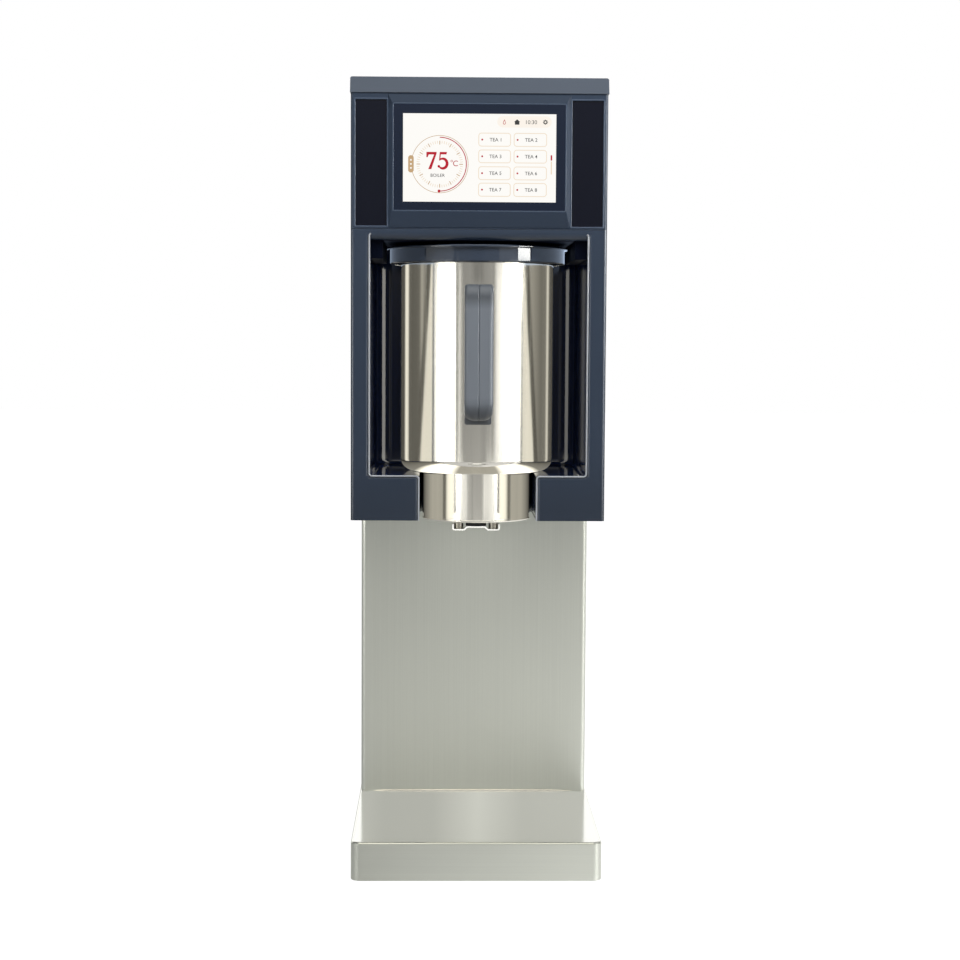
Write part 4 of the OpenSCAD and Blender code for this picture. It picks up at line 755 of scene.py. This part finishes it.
def frame_bead(low, high, corner, width, y, proud, steps=9):
    """Flat-topped bead round a rectangle: an arch of a half wave's root, carried along its outline."""
    across = np.linspace(-1, 1, steps)
    loops = [rounded_loop(low.x - s, low.z - s, high.x + s, high.z + s, corner + s)
             for s in across * width / 2]
    lift = proud * np.cos(across * np.pi / 2) ** 0.5
    rows = [np.insert(loop, 1, y - rise, axis=1) for loop, rise in zip(loops, lift)]
    back = [np.insert(loop, 1, y + proud, axis=1) for loop in (loops[-1], loops[0])]
    return shell(np.stack(rows + back), wrap_rows=True, wrap_columns=True)


# Light beads round the dark panels and the glass: painted highlights of their edges
for side in ("left", "right"):
    low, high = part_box("side_panel_" + side)
    bead = frame_bead(low, high, 1 * MM, 1.6 * MM, low.y - 0.7 * MM, 0.5 * MM)
    made("panel_frame_" + side, bead, frame_edge, "machine")
bead = frame_bead(glass_low, glass_high, 1.5 * MM, 1.2 * MM, glass_low.y, 0.15 * MM)
made("glass_frame", bead, frame_edge, "machine")


# Screen: thin lit layers on the glass, laid out in millimetres from the screen's left and top edges
MODULE_EDGE = 5.5 * MM
LAYER = 0.03 * MM
screen_left = module_low.x + MODULE_EDGE
screen_top = module_high.z - MODULE_EDGE
screen_wide, screen_tall = ((module_high[k] - module_low[k] - 2 * MODULE_EDGE) / MM for k in (0, 2))


def on_screen(outline, depth):
    """Screen places (right, down) in millimetres as points of the glass, a depth in layers in front of it."""
    right, down = np.moveaxis(np.asarray(outline, float), -1, 0)
    y = np.full(right.shape, glass_low.y) - depth * LAYER
    return np.stack([screen_left + right * MM, y, screen_top - down * MM], -1)


def flat_mark(outline, level):
    """Closed plate one layer thick with a given outline."""
    plates = [on_screen(outline, level), on_screen(outline, level + 1)]
    return shell(np.stack(plates), wrap_columns=True, caps=True)


def line_mark(outer, inner, level, closed=True):
    """Line one layer thick between two outlines of equal count, a ring if closed and a stroke if not."""
    grid = np.stack([on_screen(outer, level), on_screen(outer, level + 1), on_screen(inner, level + 1),
                     on_screen(inner, level)], 1)
    return shell(grid, wrap_rows=closed, wrap_columns=True, caps=not closed)


def ring_mark(centre, radius, width, level, start=-90, stop=270, steps=120):
    """Ring or part of one, with angles in degrees clockwise from the right."""
    closed = stop - start >= 360
    sweep = stop - 360 / steps if closed else stop
    outer = arc(centre, radius + width / 2, start, sweep, steps)
    inner = arc(centre, radius - width / 2, start, sweep, steps)
    return line_mark(outer, inner, level, closed)


def box_line(x0, y0, x1, y1, corner, width, level):
    """Outline of a rounded box."""
    return line_mark(rounded_loop(x0, y0, x1, y1, corner),
                     rounded_loop(x0 + width, y0 + width, x1 - width, y1 - width, corner - width), level)


def disc_mark(centre, radius, level):
    """Round dot."""
    return flat_mark(arc(centre, radius, 0, 345, 24), level)


def lettering(words, centre, height, level, weight=0.0):
    """Plain words and numerals as a mesh, scaled to a height and centred on a place of the screen."""
    curve = bpy.data.curves.new("numerals", "FONT")
    curve.body = words
    curve.extrude = 0.5
    curve.offset = weight
    carrier = bpy.data.objects.new("numerals", curve)
    bpy.context.scene.collection.objects.link(carrier)
    mesh = bpy.data.meshes.new_from_object(carrier.evaluated_get(bpy.context.evaluated_depsgraph_get()))
    points = np.empty(len(mesh.vertices) * 3)
    mesh.vertices.foreach_get("co", points)
    points = points.reshape(-1, 3)
    faces = [list(polygon.vertices) for polygon in mesh.polygons]
    size = height / (points[:, 1].max() - points[:, 1].min())
    flat = (points[:, :2] - (points[:, :2].max(0) + points[:, :2].min(0)) / 2) * size * (1, -1) + centre
    placed = on_screen(flat, level)
    placed[:, 1] -= (points[:, 2] + 0.5) * LAYER
    bpy.data.objects.remove(carrier)
    bpy.data.curves.remove(curve)
    bpy.data.meshes.remove(mesh)
    return placed, faces


def seven_mark(corner, height, level):
    """Numeral seven as one outline, set from its upper left corner."""
    outline = np.array([(0.02, 0.0), (0.62, 0.0), (0.62, 0.08), (0.31, 1.0), (0.13, 1.0), (0.47, 0.15),
                        (0.16, 0.15), (0.09, 0.31), (0.02, 0.31)])
    return [flat_mark(outline * height + corner, level)]


def five_mark(corner, height, level):
    """Numeral five: a flag, a thin stem and a bowl whose width swells as a sine along its sweep."""
    flag = np.array([(0.14, 0.0), (0.57, 0.0), (0.53, 0.14), (0.2, 0.14), (0.165, 0.5), (0.1, 0.5)])
    sweep = np.linspace(0, 1, 40)
    turn = np.radians(-135 + 285 * sweep)
    ray = np.stack([np.cos(turn), np.sin(turn)], -1)
    swell = (0.035 + 0.05 * np.sin(np.pi * sweep))[:, None]
    outer, inner = (np.array([0.31, 0.67]) + ray * (0.26 + side * swell) * (1, 1.08) for side in (1, -1))
    ball = arc((0.085, 0.83), 0.075, 0, 345, 24)
    return [flat_mark(flag * height + corner, level), flat_mark(ball * height + corner, level),
            line_mark(outer * height + corner, inner * height + corner, level, False)]


def drop_outline(centre, size):
    """Water drop: sine times a power of the half-angle sine across, cosine down."""
    a = full_turn(36)
    across = 0.75 * size * np.sin(a) * np.sin(a / 2) ** 1.5
    return np.stack([centre[0] + across, centre[1] - size * np.cos(a)], -1)


def gear_mark(centre, radius, level):
    """Gear: a circle with a wave of eight teeth round a smaller circle."""
    a = full_turn(96)
    tooth = radius * (1 + 0.14 * np.tanh(4 * np.cos(8 * a)))
    ray = np.stack([np.cos(a), np.sin(a)], -1)
    return line_mark(centre + ray * tooth[:, None], centre + ray * radius * 0.45, level)


def dial_ticks(centre, near, far, count, width, level):
    """Short strokes round a dial, turned about its centre by equal angles."""
    half = width / 2
    stroke = np.array([(-half, near), (half, near), (half, far), (-half, far)])
    return [flat_mark(centre + stroke @ [[math.cos(a), math.sin(a)], [math.sin(a), -math.cos(a)]], level)
            for a in full_turn(count)]


DIAL = np.array([37.0, 50.5])
DIAL_RADIUS = 28.6
ROWS = [(18.8, 32.6), (35.6, 49.1), (52.3, 66.0), (68.7, 82.6)]
COLUMNS = [(75.8, 108.6), (111.4, 145.0)]
BUTTONS = [(x0, y0, x1, y1) for y0, y1 in ROWS for x0, x1 in COLUMNS]


def lit_screen():
    """The screen's pieces: pale ground, dial with its reading, eight numbered buttons, and a row of signs.

    Places and sizes are in millimetres on the screen, and each mark has the number of its layer.
    """
    ground = [flat_mark([(0, 0), (screen_wide, 0), (screen_wide, screen_tall), (0, screen_tall)], 0)]
    pale = [flat_mark(rounded_loop(94.7, 2.1, 149.5, 13.5, 5.6), 1)]
    caramel = dial_ticks(DIAL, 20.6, 23.4, 60, 0.5, 1)
    caramel += [flat_mark(rounded_loop(149.0, 47.0, 150.0, 60.0, 0.4), 1)]
    outline = [box_line(*box, 3.2, 0.8, 1) for box in BUTTONS]
    tan = [ring_mark(DIAL, DIAL_RADIUS, 0.55, 1), flat_mark(rounded_loop(5.2, 41.7, 10.8, 59.0, 2.7), 1)]
    tan += dial_ticks(DIAL, 19.6, 23.4, 12, 0.8, 2)
    light = [disc_mark((8.0, y), 0.9, 2) for y in (46.4, 50.4, 54.4)]
    arc_radius = DIAL_RADIUS - 1.8
    red = [ring_mark(DIAL, arc_radius, 0.9, 2, -90, 92), disc_mark(DIAL + (-0.6, arc_radius), 1.5, 3)]
    red += seven_mark((23.2, 38.3), 17.2, 2) + five_mark((34.6, 38.3), 17.2, 2)
    red += [lettering("C", (52.9, 49.6), 5.6, 2), ring_mark((49.0, 47.3), 0.9, 0.45, 2, steps=24)]
    red += [disc_mark((x0 + 3.9, (y0 + y1) / 2), 0.95, 2) for x0, y0, _, y1 in BUTTONS]
    red += [line_mark(drop_outline((101.9, 7.9), 2.6), drop_outline((101.9, 8.2), 1.7), 2),
            flat_mark(rounded_loop(148.7, 40.8, 150.3, 46.1, 0.5), 2)]
    dark = [lettering(f"TEA {k}", ((x0 + x1) / 2 + 0.8, (y0 + y1) / 2), 3.5, 2, 0.006)
            for k, (x0, y0, x1, y1) in enumerate(BUTTONS, 1)]
    house = [(114.7, 5.2), (117.8, 7.9), (117.0, 7.9), (117.0, 10.6), (112.4, 10.6), (112.4, 7.9),
             (111.6, 7.9)]
    dark += [lettering("BOILER", (35.0, 61.6), 3.2, 2, 0.004), lettering("10:30", (129.2, 8.0), 3.9, 2),
             gear_mark(np.array([143.2, 7.9]), 2.2, 2), flat_mark(house, 2)]
    layers = {"ground": (ground, "cream"), "pale": (pale, "pale"), "lines": (outline, "line"),
              "tan": (tan, "tan"), "dots": (light, "cream"), "red": (red, "red"), "dark": (dark, "dark"),
              "ticks": (caramel, "caramel")}
    for name, (marks, tone) in layers.items():
        made("screen_" + name, joined(marks), LIT[tone], "machine")


lit_screen()


# Rear: screws with cross recesses, the threaded inlet, the gland and the switch marks
def screw_head(x, y, z, radius, height, around=64):
    """Domed head seen along Y: height falls as a circle towards the rim, less a cross-shaped recess."""
    r = np.linspace(0, 1, 22)[:, None] * radius
    a = full_turn(around)[None]
    u, v = r * np.cos(a), r * np.sin(a)
    narrow, wide = np.minimum(abs(u), abs(v)), np.maximum(abs(u), abs(v))
    slot, slot_soft, reach, reach_soft = (share * radius for share in (0.17, 0.025, 0.58, 0.03))
    recess = 1 / (1 + np.exp((narrow - slot) / slot_soft)) / (1 + np.exp((wide - reach) / reach_soft))
    dome = height * (0.45 + 0.55 * np.sqrt(np.maximum(0, 1 - (r / radius) ** 2)))
    top = np.stack([x + u, y + dome - 0.75 * height * recess, z + v], -1)
    foot = np.stack([x + u[-1], np.full(around, y), z + v[-1]], -1)
    return shell(np.concatenate([top, foot[None]]), wrap_columns=True, caps=True)


SCREW_RADIUS = 3.2 * MM
SCREW_HEIGHT = 2 * MM
SCREW_INSET = 8.2 * MM
heads = [screw_head(x, high.y, z, SCREW_RADIUS, SCREW_HEIGHT)
         for low, high, end in ((column_back_low, column_back_high, 24 * MM),
                                (head_back_low, head_back_high, 40 * MM))
         for x in (low.x + SCREW_INSET, high.x - SCREW_INSET)
         for z in np.linspace(low.z + end, high.z - end, 3)]
made("screw_heads", joined(heads), plated_steel, "machine", ["rear_screws"], 28)


def round_level_axis(radius, a, y, x, z):
    """Shell closed both ways: a centre plus radius times cosine in X and sine in Z, at places along Y."""
    grid = np.stack([x + radius * np.cos(a), np.broadcast_to(y, radius.shape), z + radius * np.sin(a)], -1)
    return shell(grid, wrap_rows=True, wrap_columns=True)


def turned_along_y(profile, x, z, steps, ripple):
    """Closed half section (radius, y) turned round a level axis; ripple adds to the radius by angle."""
    radius, y = np.asarray(profile, float).T
    a = full_turn(steps)[:, None]
    return round_level_axis(radius + ripple(a, radius, y), a, y, x, z)


def hex_nut(x, z, y0, y1, across, bore, steps=96):
    """Hexagon with corners rounded off at both faces: a circle that grows inwards limits its outline."""
    a = full_turn(steps)
    flat = across * math.cos(math.pi / 6) / np.cos((a % (math.pi / 3)) - math.pi / 6)
    limit = across * np.array([0.9, 1.0, 1.0, 0.9])
    radius = np.concatenate([np.minimum(flat, limit[:, None]), np.full((2, steps), bore)])
    chamfer = 0.8 * MM
    y = np.array([y0, y0 + chamfer, y1 - chamfer, y1, y1, y0])[:, None]
    return round_level_axis(radius, a, y, x, z)


THREAD_PITCH = 1.8 * MM
THREAD_DEPTH = 0.9 * MM
inlet_x = (inlet_low.x + inlet_high.x) / 2
inlet_z = (inlet_low.z + inlet_high.z) / 2
inlet_radius = 13.2 * MM
rear_face = head_back_high.y


def inlet_thread(a, radius, y):
    """Thread: a triangle wave of the place along the axis less the share of the turn, outside only."""
    phase = (y - rear_face) / THREAD_PITCH - a / (2 * np.pi)
    wave = np.abs(phase % 1 - 0.5) * 2
    on = (radius > inlet_radius - 0.1 * MM) & (y > rear_face + 4.5 * MM) & (y < inlet_high.y - 1.2 * MM)
    return np.where(on, -THREAD_DEPTH * wave, 0)


bore, chamfer, thread_steps = inlet_radius - 4 * MM, 0.8 * MM, 150
thread_y = np.linspace(rear_face, inlet_high.y - 1 * MM, thread_steps)
barrel = np.concatenate([
    [(inlet_radius, inlet_low.y)],
    np.stack([np.full(thread_steps, inlet_radius), thread_y], -1),
    [(inlet_radius - 1 * MM, inlet_high.y), (bore + chamfer, inlet_high.y), (bore, inlet_high.y - chamfer),
     (bore, inlet_low.y)]])
inlet_nut = hex_nut(inlet_x, inlet_z, rear_face, rear_face + 4 * MM, inlet_radius + 4 * MM,
                    inlet_radius - 0.5 * MM)
made("inlet_thread", joined([turned_along_y(barrel, inlet_x, inlet_z, 96, inlet_thread), inlet_nut]),
     turned_brass, "machine", ["inlet_fitting"], 35)

gland_x = (gland_low.x + gland_high.x) / 2
gland_z = (gland_low.z + gland_high.z) / 2
GLAND_THREAD = 8 * MM
GLAND_NUT = 12 * MM
CORD_HOLE = 5 * MM


def gland_ribs(a, radius, _):
    """Grip ribs: a wave of the angle on the widest part of the dome nut."""
    return np.where(radius > 9.4 * MM, 0.25 * MM * np.cos(14 * a), 0)


dome = np.concatenate([
    [(CORD_HOLE, gland_low.y), (GLAND_THREAD, gland_low.y), (GLAND_THREAD, rear_face + 5 * MM),
     (10 * MM, rear_face + 5 * MM), (10.4 * MM, rear_face + 5.6 * MM), (10.3 * MM, rear_face + 10 * MM)],
    arc((7 * MM, gland_high.y - 3 * MM), 3 * MM, 15, 88, 9),
    [(CORD_HOLE + 0.8 * MM, gland_high.y), (CORD_HOLE, gland_high.y - 0.8 * MM)]])
nuts = [hex_nut(gland_x, gland_z, rear_face + near, rear_face + far, GLAND_NUT, GLAND_THREAD - 0.3 * MM)
        for near, far in ((0.0, 5 * MM), (-7.2 * MM, -1.2 * MM))]
made("gland_body", joined([turned_along_y(dome, gland_x, gland_z, 112, gland_ribs), *nuts]), black_gland,
     "machine", ["cord_gland"], 35)

ROCKER_TILT = math.radians(10)
ROCKER_FACE = 7.2 * MM
ROCKER_DIP = 5 * MM
ROCKER_END = 10.4 * MM
rocker_x = (rocker_low.x + rocker_high.x) / 2
pivot_y = rear_face - 3 * MM
pivot_z = (rocker_low.z + rocker_high.z) / 2 - 0.1 * MM


def on_rocker(outline, side):
    """Places (across, along) on one sloping face of the rocker, tilted with it, just under and over it."""
    outline = np.asarray(outline, float)
    slope = math.atan2(ROCKER_FACE - ROCKER_DIP, ROCKER_END)
    mid_y, mid_z = (ROCKER_FACE + ROCKER_DIP) / 2, side * ROCKER_END / 2
    layers = []
    for lift in (-0.1 * MM, 0.06 * MM):
        y = mid_y + side * outline[:, 1] * math.sin(slope) + lift * math.cos(slope)
        z = mid_z + outline[:, 1] * math.cos(slope) - side * lift * math.sin(slope)
        turned_y = y * math.cos(ROCKER_TILT) - z * math.sin(ROCKER_TILT)
        turned_z = y * math.sin(ROCKER_TILT) + z * math.cos(ROCKER_TILT)
        layers.append(np.stack([rocker_x + outline[:, 0], pivot_y + turned_y, pivot_z + turned_z], -1))
    return layers


bar = np.array([(-0.5, -2.4), (0.5, -2.4), (0.5, 2.4), (-0.5, 2.4)]) * MM
outer_o, inner_o = arc((0, 0), 2.5 * MM, 0, 350, 36), arc((0, 0), 1.7 * MM, 0, 350, 36)
ring_back, ring_front = on_rocker(outer_o, -1)
hole_back, hole_front = on_rocker(inner_o, -1)
made("rocker_marks", joined([
    shell(np.stack(on_rocker(bar, 1)), wrap_columns=True, caps=True),
    shell(np.stack([ring_back, ring_front, hole_front, hole_back], 1), wrap_rows=True, wrap_columns=True)]),
    white_moulding, "power_switch")


# Studio: a white surround, soft lamps for plain light, and cards that only reflections show
MIRRORED_WHITE = 0.15


def make_surround():
    """World that is white where it is seen, dimmer where it is mirrored and as light on the object."""
    world = bpy.data.worlds.new("surround")
    world.use_nodes = True
    tree = world.node_tree
    path = add(tree, "LightPath").outputs
    seen = result(tree, "MAXIMUM", path["Is Camera Ray"], path["Is Transmission Ray"])
    strength = spread(tree, seen, MIRRORED_WHITE, 1.0, 0.0, 1.0)
    feed(tree.nodes["Background"], {"Color": (1, 1, 1, 1), "Strength": strength})
    bpy.context.scene.world = world


def make_lamp(name, place, target, size, power):
    """Rectangular soft lamp that faces a point; reflections show the cards instead of it."""
    data = bpy.data.lights.new(name, "AREA")
    data.shape = "RECTANGLE"
    data.size, data.size_y = size
    data.energy = power
    lamp = bpy.data.objects.new(name, data)
    lamp.location = place
    lamp.rotation_euler = (Vector(target) - lamp.location).to_track_quat("-Z", "Y").to_euler()
    lamp.visible_glossy = False
    bpy.context.scene.collection.objects.link(lamp)


def flat_stage(name, points, material, faces=((0, 1, 2, 3),)):
    """Board of flat faces that isn't part of the object."""
    mesh = bpy.data.meshes.new(name)
    mesh.from_pydata(points, [], faces)
    mesh.materials.append(material)
    board = bpy.data.objects.new(name, mesh)
    bpy.context.scene.collection.objects.link(board)
    board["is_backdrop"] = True
    return board


def mirrored_only(card):
    """Board hidden from everything but mirrored rays."""
    card.visible_camera = False
    card.visible_diffuse = False
    card.visible_shadow = False
    card.visible_transmission = False


def upright(x, ys, zs, facing):
    """Corners of an upright rectangle across X whose front looks along +X or -X."""
    corners = [(x, ys[0], zs[0]), (x, ys[0], zs[1]), (x, ys[1], zs[1]), (x, ys[1], zs[0])]
    return corners if facing < 0 else corners[::-1]


def level(xs, ys, z, facing):
    """Corners of a level rectangle whose front looks up or down."""
    corners = [(xs[0], ys[0], z), (xs[1], ys[0], z), (xs[1], ys[1], z), (xs[0], ys[1], z)]
    return corners if facing > 0 else corners[::-1]


FLOOR_REACH = (-12.0, 12.0)
FLOOR_NEAR_TONES = (0.26, 0.76)
FLOOR_FAR_TONE = 0.46
FLOOR_FADE = (-0.4, -0.9)


def make_floor():
    """Pale floor with a light of its own where it is seen, and less of it where it is mirrored."""
    material, tree, shader = surface("pale_floor", Base_Color=(0.4, 0.4, 0.4, 1), Roughness=0.9,
                                     Emission_Color=(1, 1, 1, 1))
    path = add(tree, "LightPath").outputs
    near = spread(tree, place_of(tree, "X"), *FLOOR_NEAR_TONES, base_low.x, base_high.x)
    apart = spread(tree, place_of(tree, "Y"), 0.0, 1.0, *FLOOR_FADE)
    tone = add(tree, "Mix", {"Factor": apart, "A": near, "B": FLOOR_FAR_TONE}, data_type="FLOAT")
    mirrored = result(tree, "MULTIPLY", path["Is Glossy Ray"], tone.outputs["Result"])
    feed(shader, {"Emission Strength": result(tree, "MAXIMUM", path["Is Camera Ray"], mirrored)})
    flat_stage("floor", level(FLOOR_REACH, FLOOR_REACH, 0, 1), material)


def card_material(name):
    """Empty material of a card: its tree and its output."""
    material = bpy.data.materials.new(name)
    material.use_nodes = True
    tree = material.node_tree
    tree.nodes.clear()
    return material, tree, add(tree, "OutputMaterial")


CARD_STEPS = 8
CARD_TINT = (1, 1, 0.97, 1)
BAY_TINT = (1.0, 0.97, 0.86)
STUDIO_RADIUS = 2.6
STILE_SOFT = 2 * MM


def make_card(name, angles, heights, tones, fade=None, distance=STUDIO_RADIUS):
    """Arc of upright card that only mirrored rays see, between two angles from the camera's side.

    Its glow goes from one tone to another over a range of height, its own if no other is given.
    """
    material, tree, output = card_material(name)
    strength = spread(tree, place_of(tree, "Z"), *tones, *(fade or heights))
    feed(output, {"Surface": add(tree, "Emission", {"Color": CARD_TINT, "Strength": strength}).outputs[0]})
    turns = np.radians(np.linspace(*angles, CARD_STEPS))
    points = [(distance * math.sin(t), -distance * math.cos(t), z) for z in heights for t in turns]
    faces = [[k, k + 1, k + 1 + CARD_STEPS, k + CARD_STEPS] for k in range(CARD_STEPS - 1)]
    mirrored_only(flat_stage(name, points, material, faces))


def make_flat_card(name, corners, axis, stops, stile=None, tint=BAY_TINT):
    """Flat card that only mirrored rays see, and only from its front.

    Its glow follows a ramp of tones along one axis, given as shares of its length. A stile is a dark band
    with a bright front, whose edge goes from one depth at the top of the card to another at its foot.
    """
    material, tree, output = card_material(name)
    ends = [f(corner["XYZ".index(axis)] for corner in corners) for f in (min, max)]
    ramp = add(tree, "ValToRGB", {"Fac": spread(tree, place_of(tree, axis), 0.0, 1.0, *ends)})
    while len(ramp.color_ramp.elements) < len(stops):
        ramp.color_ramp.elements.new(0.5)
    for element, (share, tone) in zip(ramp.color_ramp.elements, stops):
        element.position = share
        element.color = (*(tone * c for c in tint), 1)
    colour = ramp.outputs["Color"]
    if stile:
        top, foot, width, bright, dark = stile
        low, high = (f(corner[2] for corner in corners) for f in (min, max))
        lean = (foot - top) / (high - low)
        slant = result(tree, "MULTIPLY_ADD", place_of(tree, "Z"), lean, place_of(tree, "Y"))
        edge = top + lean * high
        tones = ([tone * c for c in tint] for tone in (bright, dark))
        front = tinted(tree, spread(tree, slant, 0.0, 1.0, edge, edge + STILE_SOFT), *tones)
        behind = spread(tree, slant, 0.0, 1.0, edge + width, edge + width + STILE_SOFT)
        colour = tinted(tree, behind, front, colour)
    glow = add(tree, "Emission", {"Color": colour}).outputs[0]
    back = add(tree, "NewGeometry").outputs["Backfacing"]
    clear = add(tree, "BsdfTransparent").outputs[0]
    feed(output, {"Surface": add(tree, "MixShader", {0: back, 1: glow, 2: clear}).outputs[0]})
    mirrored_only(flat_stage(name, corners, material))


# Tones along the flat cards, each with its share of the card's length
POT_TONES = {
    -1: [(0.0, 0.3), (0.17, 0.3), (0.2, 0.6), (0.24, 0.16), (0.46, 0.14), (0.5, 1.1), (0.58, 1.0),
         (0.64, 0.1)],
    1: [(0.0, 0.45), (0.2, 0.35), (0.36, 0.2), (0.48, 0.2), (0.51, 0.8), (0.56, 0.75), (0.6, 0.09)],
}
SKIRT_TONES = [(0.0, 1.5), (0.27, 1.3), (0.32, 0.7), (0.35, 0.1), (0.4, 0.12), (0.44, 0.5), (0.7, 0.5),
               (1.0, 0.05)]
HALF_FLOOR = [(0.0, 0.1), (0.18, 0.3), (0.23, 2.0), (0.36, 2.0), (0.4, 0.5)]
FLOOR_TONES = HALF_FLOOR + [(1 - share, tone) for share, tone in HALF_FLOOR[::-1]]
FOOT_TONES = [(0.0, 0.5), (0.1, 0.45), (0.32, 0.46), (0.52, 0.62), (0.72, 0.5), (1.0, 0.52)]
OVER_TONES = [(0.0, 2.2), (1.0, 2.2)]
LID_TINT = (0.75, 0.92, 1.2)
SHADE_TINT = (1, 1, 0.96)
FOOT_TINT = (1, 1.01, 0.92)
# Places of the flat cards: depths, gaps from the pieces that they serve, and heights
BAY_DEPTH = (pot_y - 87 * MM, pot_y + 74 * MM)
CORNER_DEPTH = (pot_y + 57 * MM, pot_y + 79 * MM)
SKIRT_DEPTH = (pot_y - 85 * MM, pot_y - 6 * MM)
CORNER_X = 60 * MM
POT_GAP = 14 * MM
LID_GAP = 1.8 * MM
SKIRT_GAP = 1.6 * MM
FLOOR_MARGIN = 20 * MM
FOOT_HEIGHT = 90 * MM
SHADE_HEIGHT = 0.36
OVER_HEIGHT = 2.2
# The stile on the pot's cards: depth of its edge at the top and at the foot, width, bright and dark tone
STILE = (pot_y - 83 * MM, pot_y - 50 * MM, 13 * MM, 0.95, 0.12)
# Shades: name, reach along X, reach along Y and tone
SHADES = (
    ("shade_left", (-2.7, -0.22), (-2.7, -0.22), 0.45),
    ("shade_right", (0.22, 2.7), (-2.7, -0.22), 0.45),
    ("shade_wing", (0.135, 2.7), (-0.22, 0.3), 0.35),
)


def make_bay_cards():
    """Cards beside the pot, the lid and the skirt, behind the pot for the corners, and on the bay's floor."""
    floor_z = pot_low.z + CONE_DROP
    heights = (floor_z, lid_low.z + 1 * MM)
    lid_heights = (lid_low.z, lid_high.z - 1 * MM)
    skirt_heights = (skirt_low.z, skirt_high.z - 3 * MM)
    for label, side in SIDES:
        beside_pot = upright(side * (lid_high.x + POT_GAP), BAY_DEPTH, heights, -side)
        make_flat_card(f"pot_card_{label}", beside_pot, "Y", POT_TONES[side], STILE)
        beside_lid = upright(side * (lid_high.x + LID_GAP), BAY_DEPTH, lid_heights, -side)
        lid_tones = [(0.0, 0.75 + 0.2 * side), (1.0, 0.7 + 0.2 * side)]
        make_flat_card(f"lid_card_{label}", beside_lid, "Y", lid_tones, tint=LID_TINT)
        behind_pot = upright(side * CORNER_X, CORNER_DEPTH, heights, side)
        corner_tones = [(0.0, 5.0 - 1.2 * side), (0.06, 4.0 - side), (1.0, 4.4 - side)]
        make_flat_card(f"corner_card_{label}", behind_pot, "Z", corner_tones)
        beside_skirt = upright(side * (skirt_high.x + SKIRT_GAP), SKIRT_DEPTH, skirt_heights, -side)
        make_flat_card(f"skirt_card_{label}", beside_skirt, "Y", SKIRT_TONES)
    half = pot_high.x + FLOOR_MARGIN
    on_floor = level((-half, half), BAY_DEPTH, floor_z + 0.1 * MM, 1)
    make_flat_card("floor_card", on_floor, "X", FLOOR_TONES)


def make_low_cards():
    """Cards for the base and the column: shades to both sides, one at the column's foot, one far above."""
    for name, xs, ys, tone in SHADES:
        tones = [(0.0, tone), (1.0, tone)]
        make_flat_card(name, level(xs, ys, SHADE_HEIGHT, -1), "Y", tones, tint=SHADE_TINT)
    half, y = column_high.x - 1 * MM, column_low.y - 1.5 * MM
    foot, top = column_low.z + 1 * MM, column_low.z + FOOT_HEIGHT
    corners = [(-half, y, foot), (half, y, foot), (half, y, top), (-half, y, top)]
    make_flat_card("foot_card", corners, "X", FOOT_TONES, tint=FOOT_TINT)
    make_flat_card("over_card", level((-1.2, 1.2), (-2.4, -0.3), OVER_HEIGHT, -1), "Y", OVER_TONES)


# Lamps: name, place, size and power
LAMPS = (
    ("lamp_left", (-0.75, -0.85, 1.55), (0.6, 0.6), 6.4),
    ("lamp_right", (0.75, -0.85, 1.55), (0.6, 0.6), 12.6),
    ("lamp_top", (0, -0.7, 2.4), (1.6, 1.2), 5),
    ("lamp_front", (0, -2.4, 0.7), (0.5, 0.5), 2),
)
LAMP_AIM = (0, pot_y, 0.7)
# Cards: name, angles, heights, low and high tone, then the heights where they change and the distance
CARDS = (
    ("card_front", (-8, 8), (-0.3, 1.6), (0.08, 0.6), (0.5, 1.2)),
    ("card_near", (-6, 6), (0.1, 0.62), (0.6, 0.38), (0.3, 0.45), 0.5),
    ("card_mid_left", (-30, -8), (-0.3, 1.6), (0.5, 0.35), (0.15, 0.4)),
    ("card_mid_right", (8, 26), (-0.3, 1.6), (0.5, 0.35), (0.15, 0.4)),
    ("card_low", (-12, 12), (0.0, 0.26), (0.38, 1.1), (0.12, 0.26), 0.9),
    ("card_left", (-59, -33), (-0.3, 0.71), (0.3, 7), (0.1, 0.3)),
    ("card_right", (40, 61), (-0.3, 0.71), (0.3, 8), (0.1, 0.3)),
    ("low_left", (-33, -19), (0.14, 0.27), (1.1, 1.1), None, 2.5),
    ("low_right", (13, 40), (0.14, 0.27), (1.1, 1.1), None, 2.5),
    ("bridge_card", (-5, 5), (0.3, 0.333), (1.5, 1.5), None, 0.45),
    ("wall_left", (-78, -59), (-0.3, 1.3), (0.9, 0.9)),
    ("wall_right", (61, 82), (-0.3, 0.725), (0.4, 0.85), (0.2, 0.35)),
    ("fill_left", (-59, -30), (0.71, 1.3), (0.9, 0.9)),
    ("fill_right", (26, 51), (0.71, 1.3), (0.9, 0.9)),
    ("edge_left", (-26, -23.5), (-0.3, 0.725), (1.2, 1.2), None, 2.5),
    ("edge_right", (26, 40), (-0.3, 0.725), (1.1, 1.2)),
    ("box_right", (51, 80), (0.725, 1.3), (24, 24)),
    ("card_back", (110, 250), (-0.3, 2.0), (1.1, 1.1)),
)


def make_studio():
    """Lights and cards: bright to the left and right of the camera, darker behind it."""
    make_surround()
    make_floor()
    for name, place, size, power in LAMPS:
        make_lamp(name, place, LAMP_AIM, size, power)
    for card in CARDS:
        make_card(*card)
    make_bay_cards()
    make_low_cards()


make_camera()
make_studio()
bpy.context.scene.view_settings.view_transform = "Standard"

low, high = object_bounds()
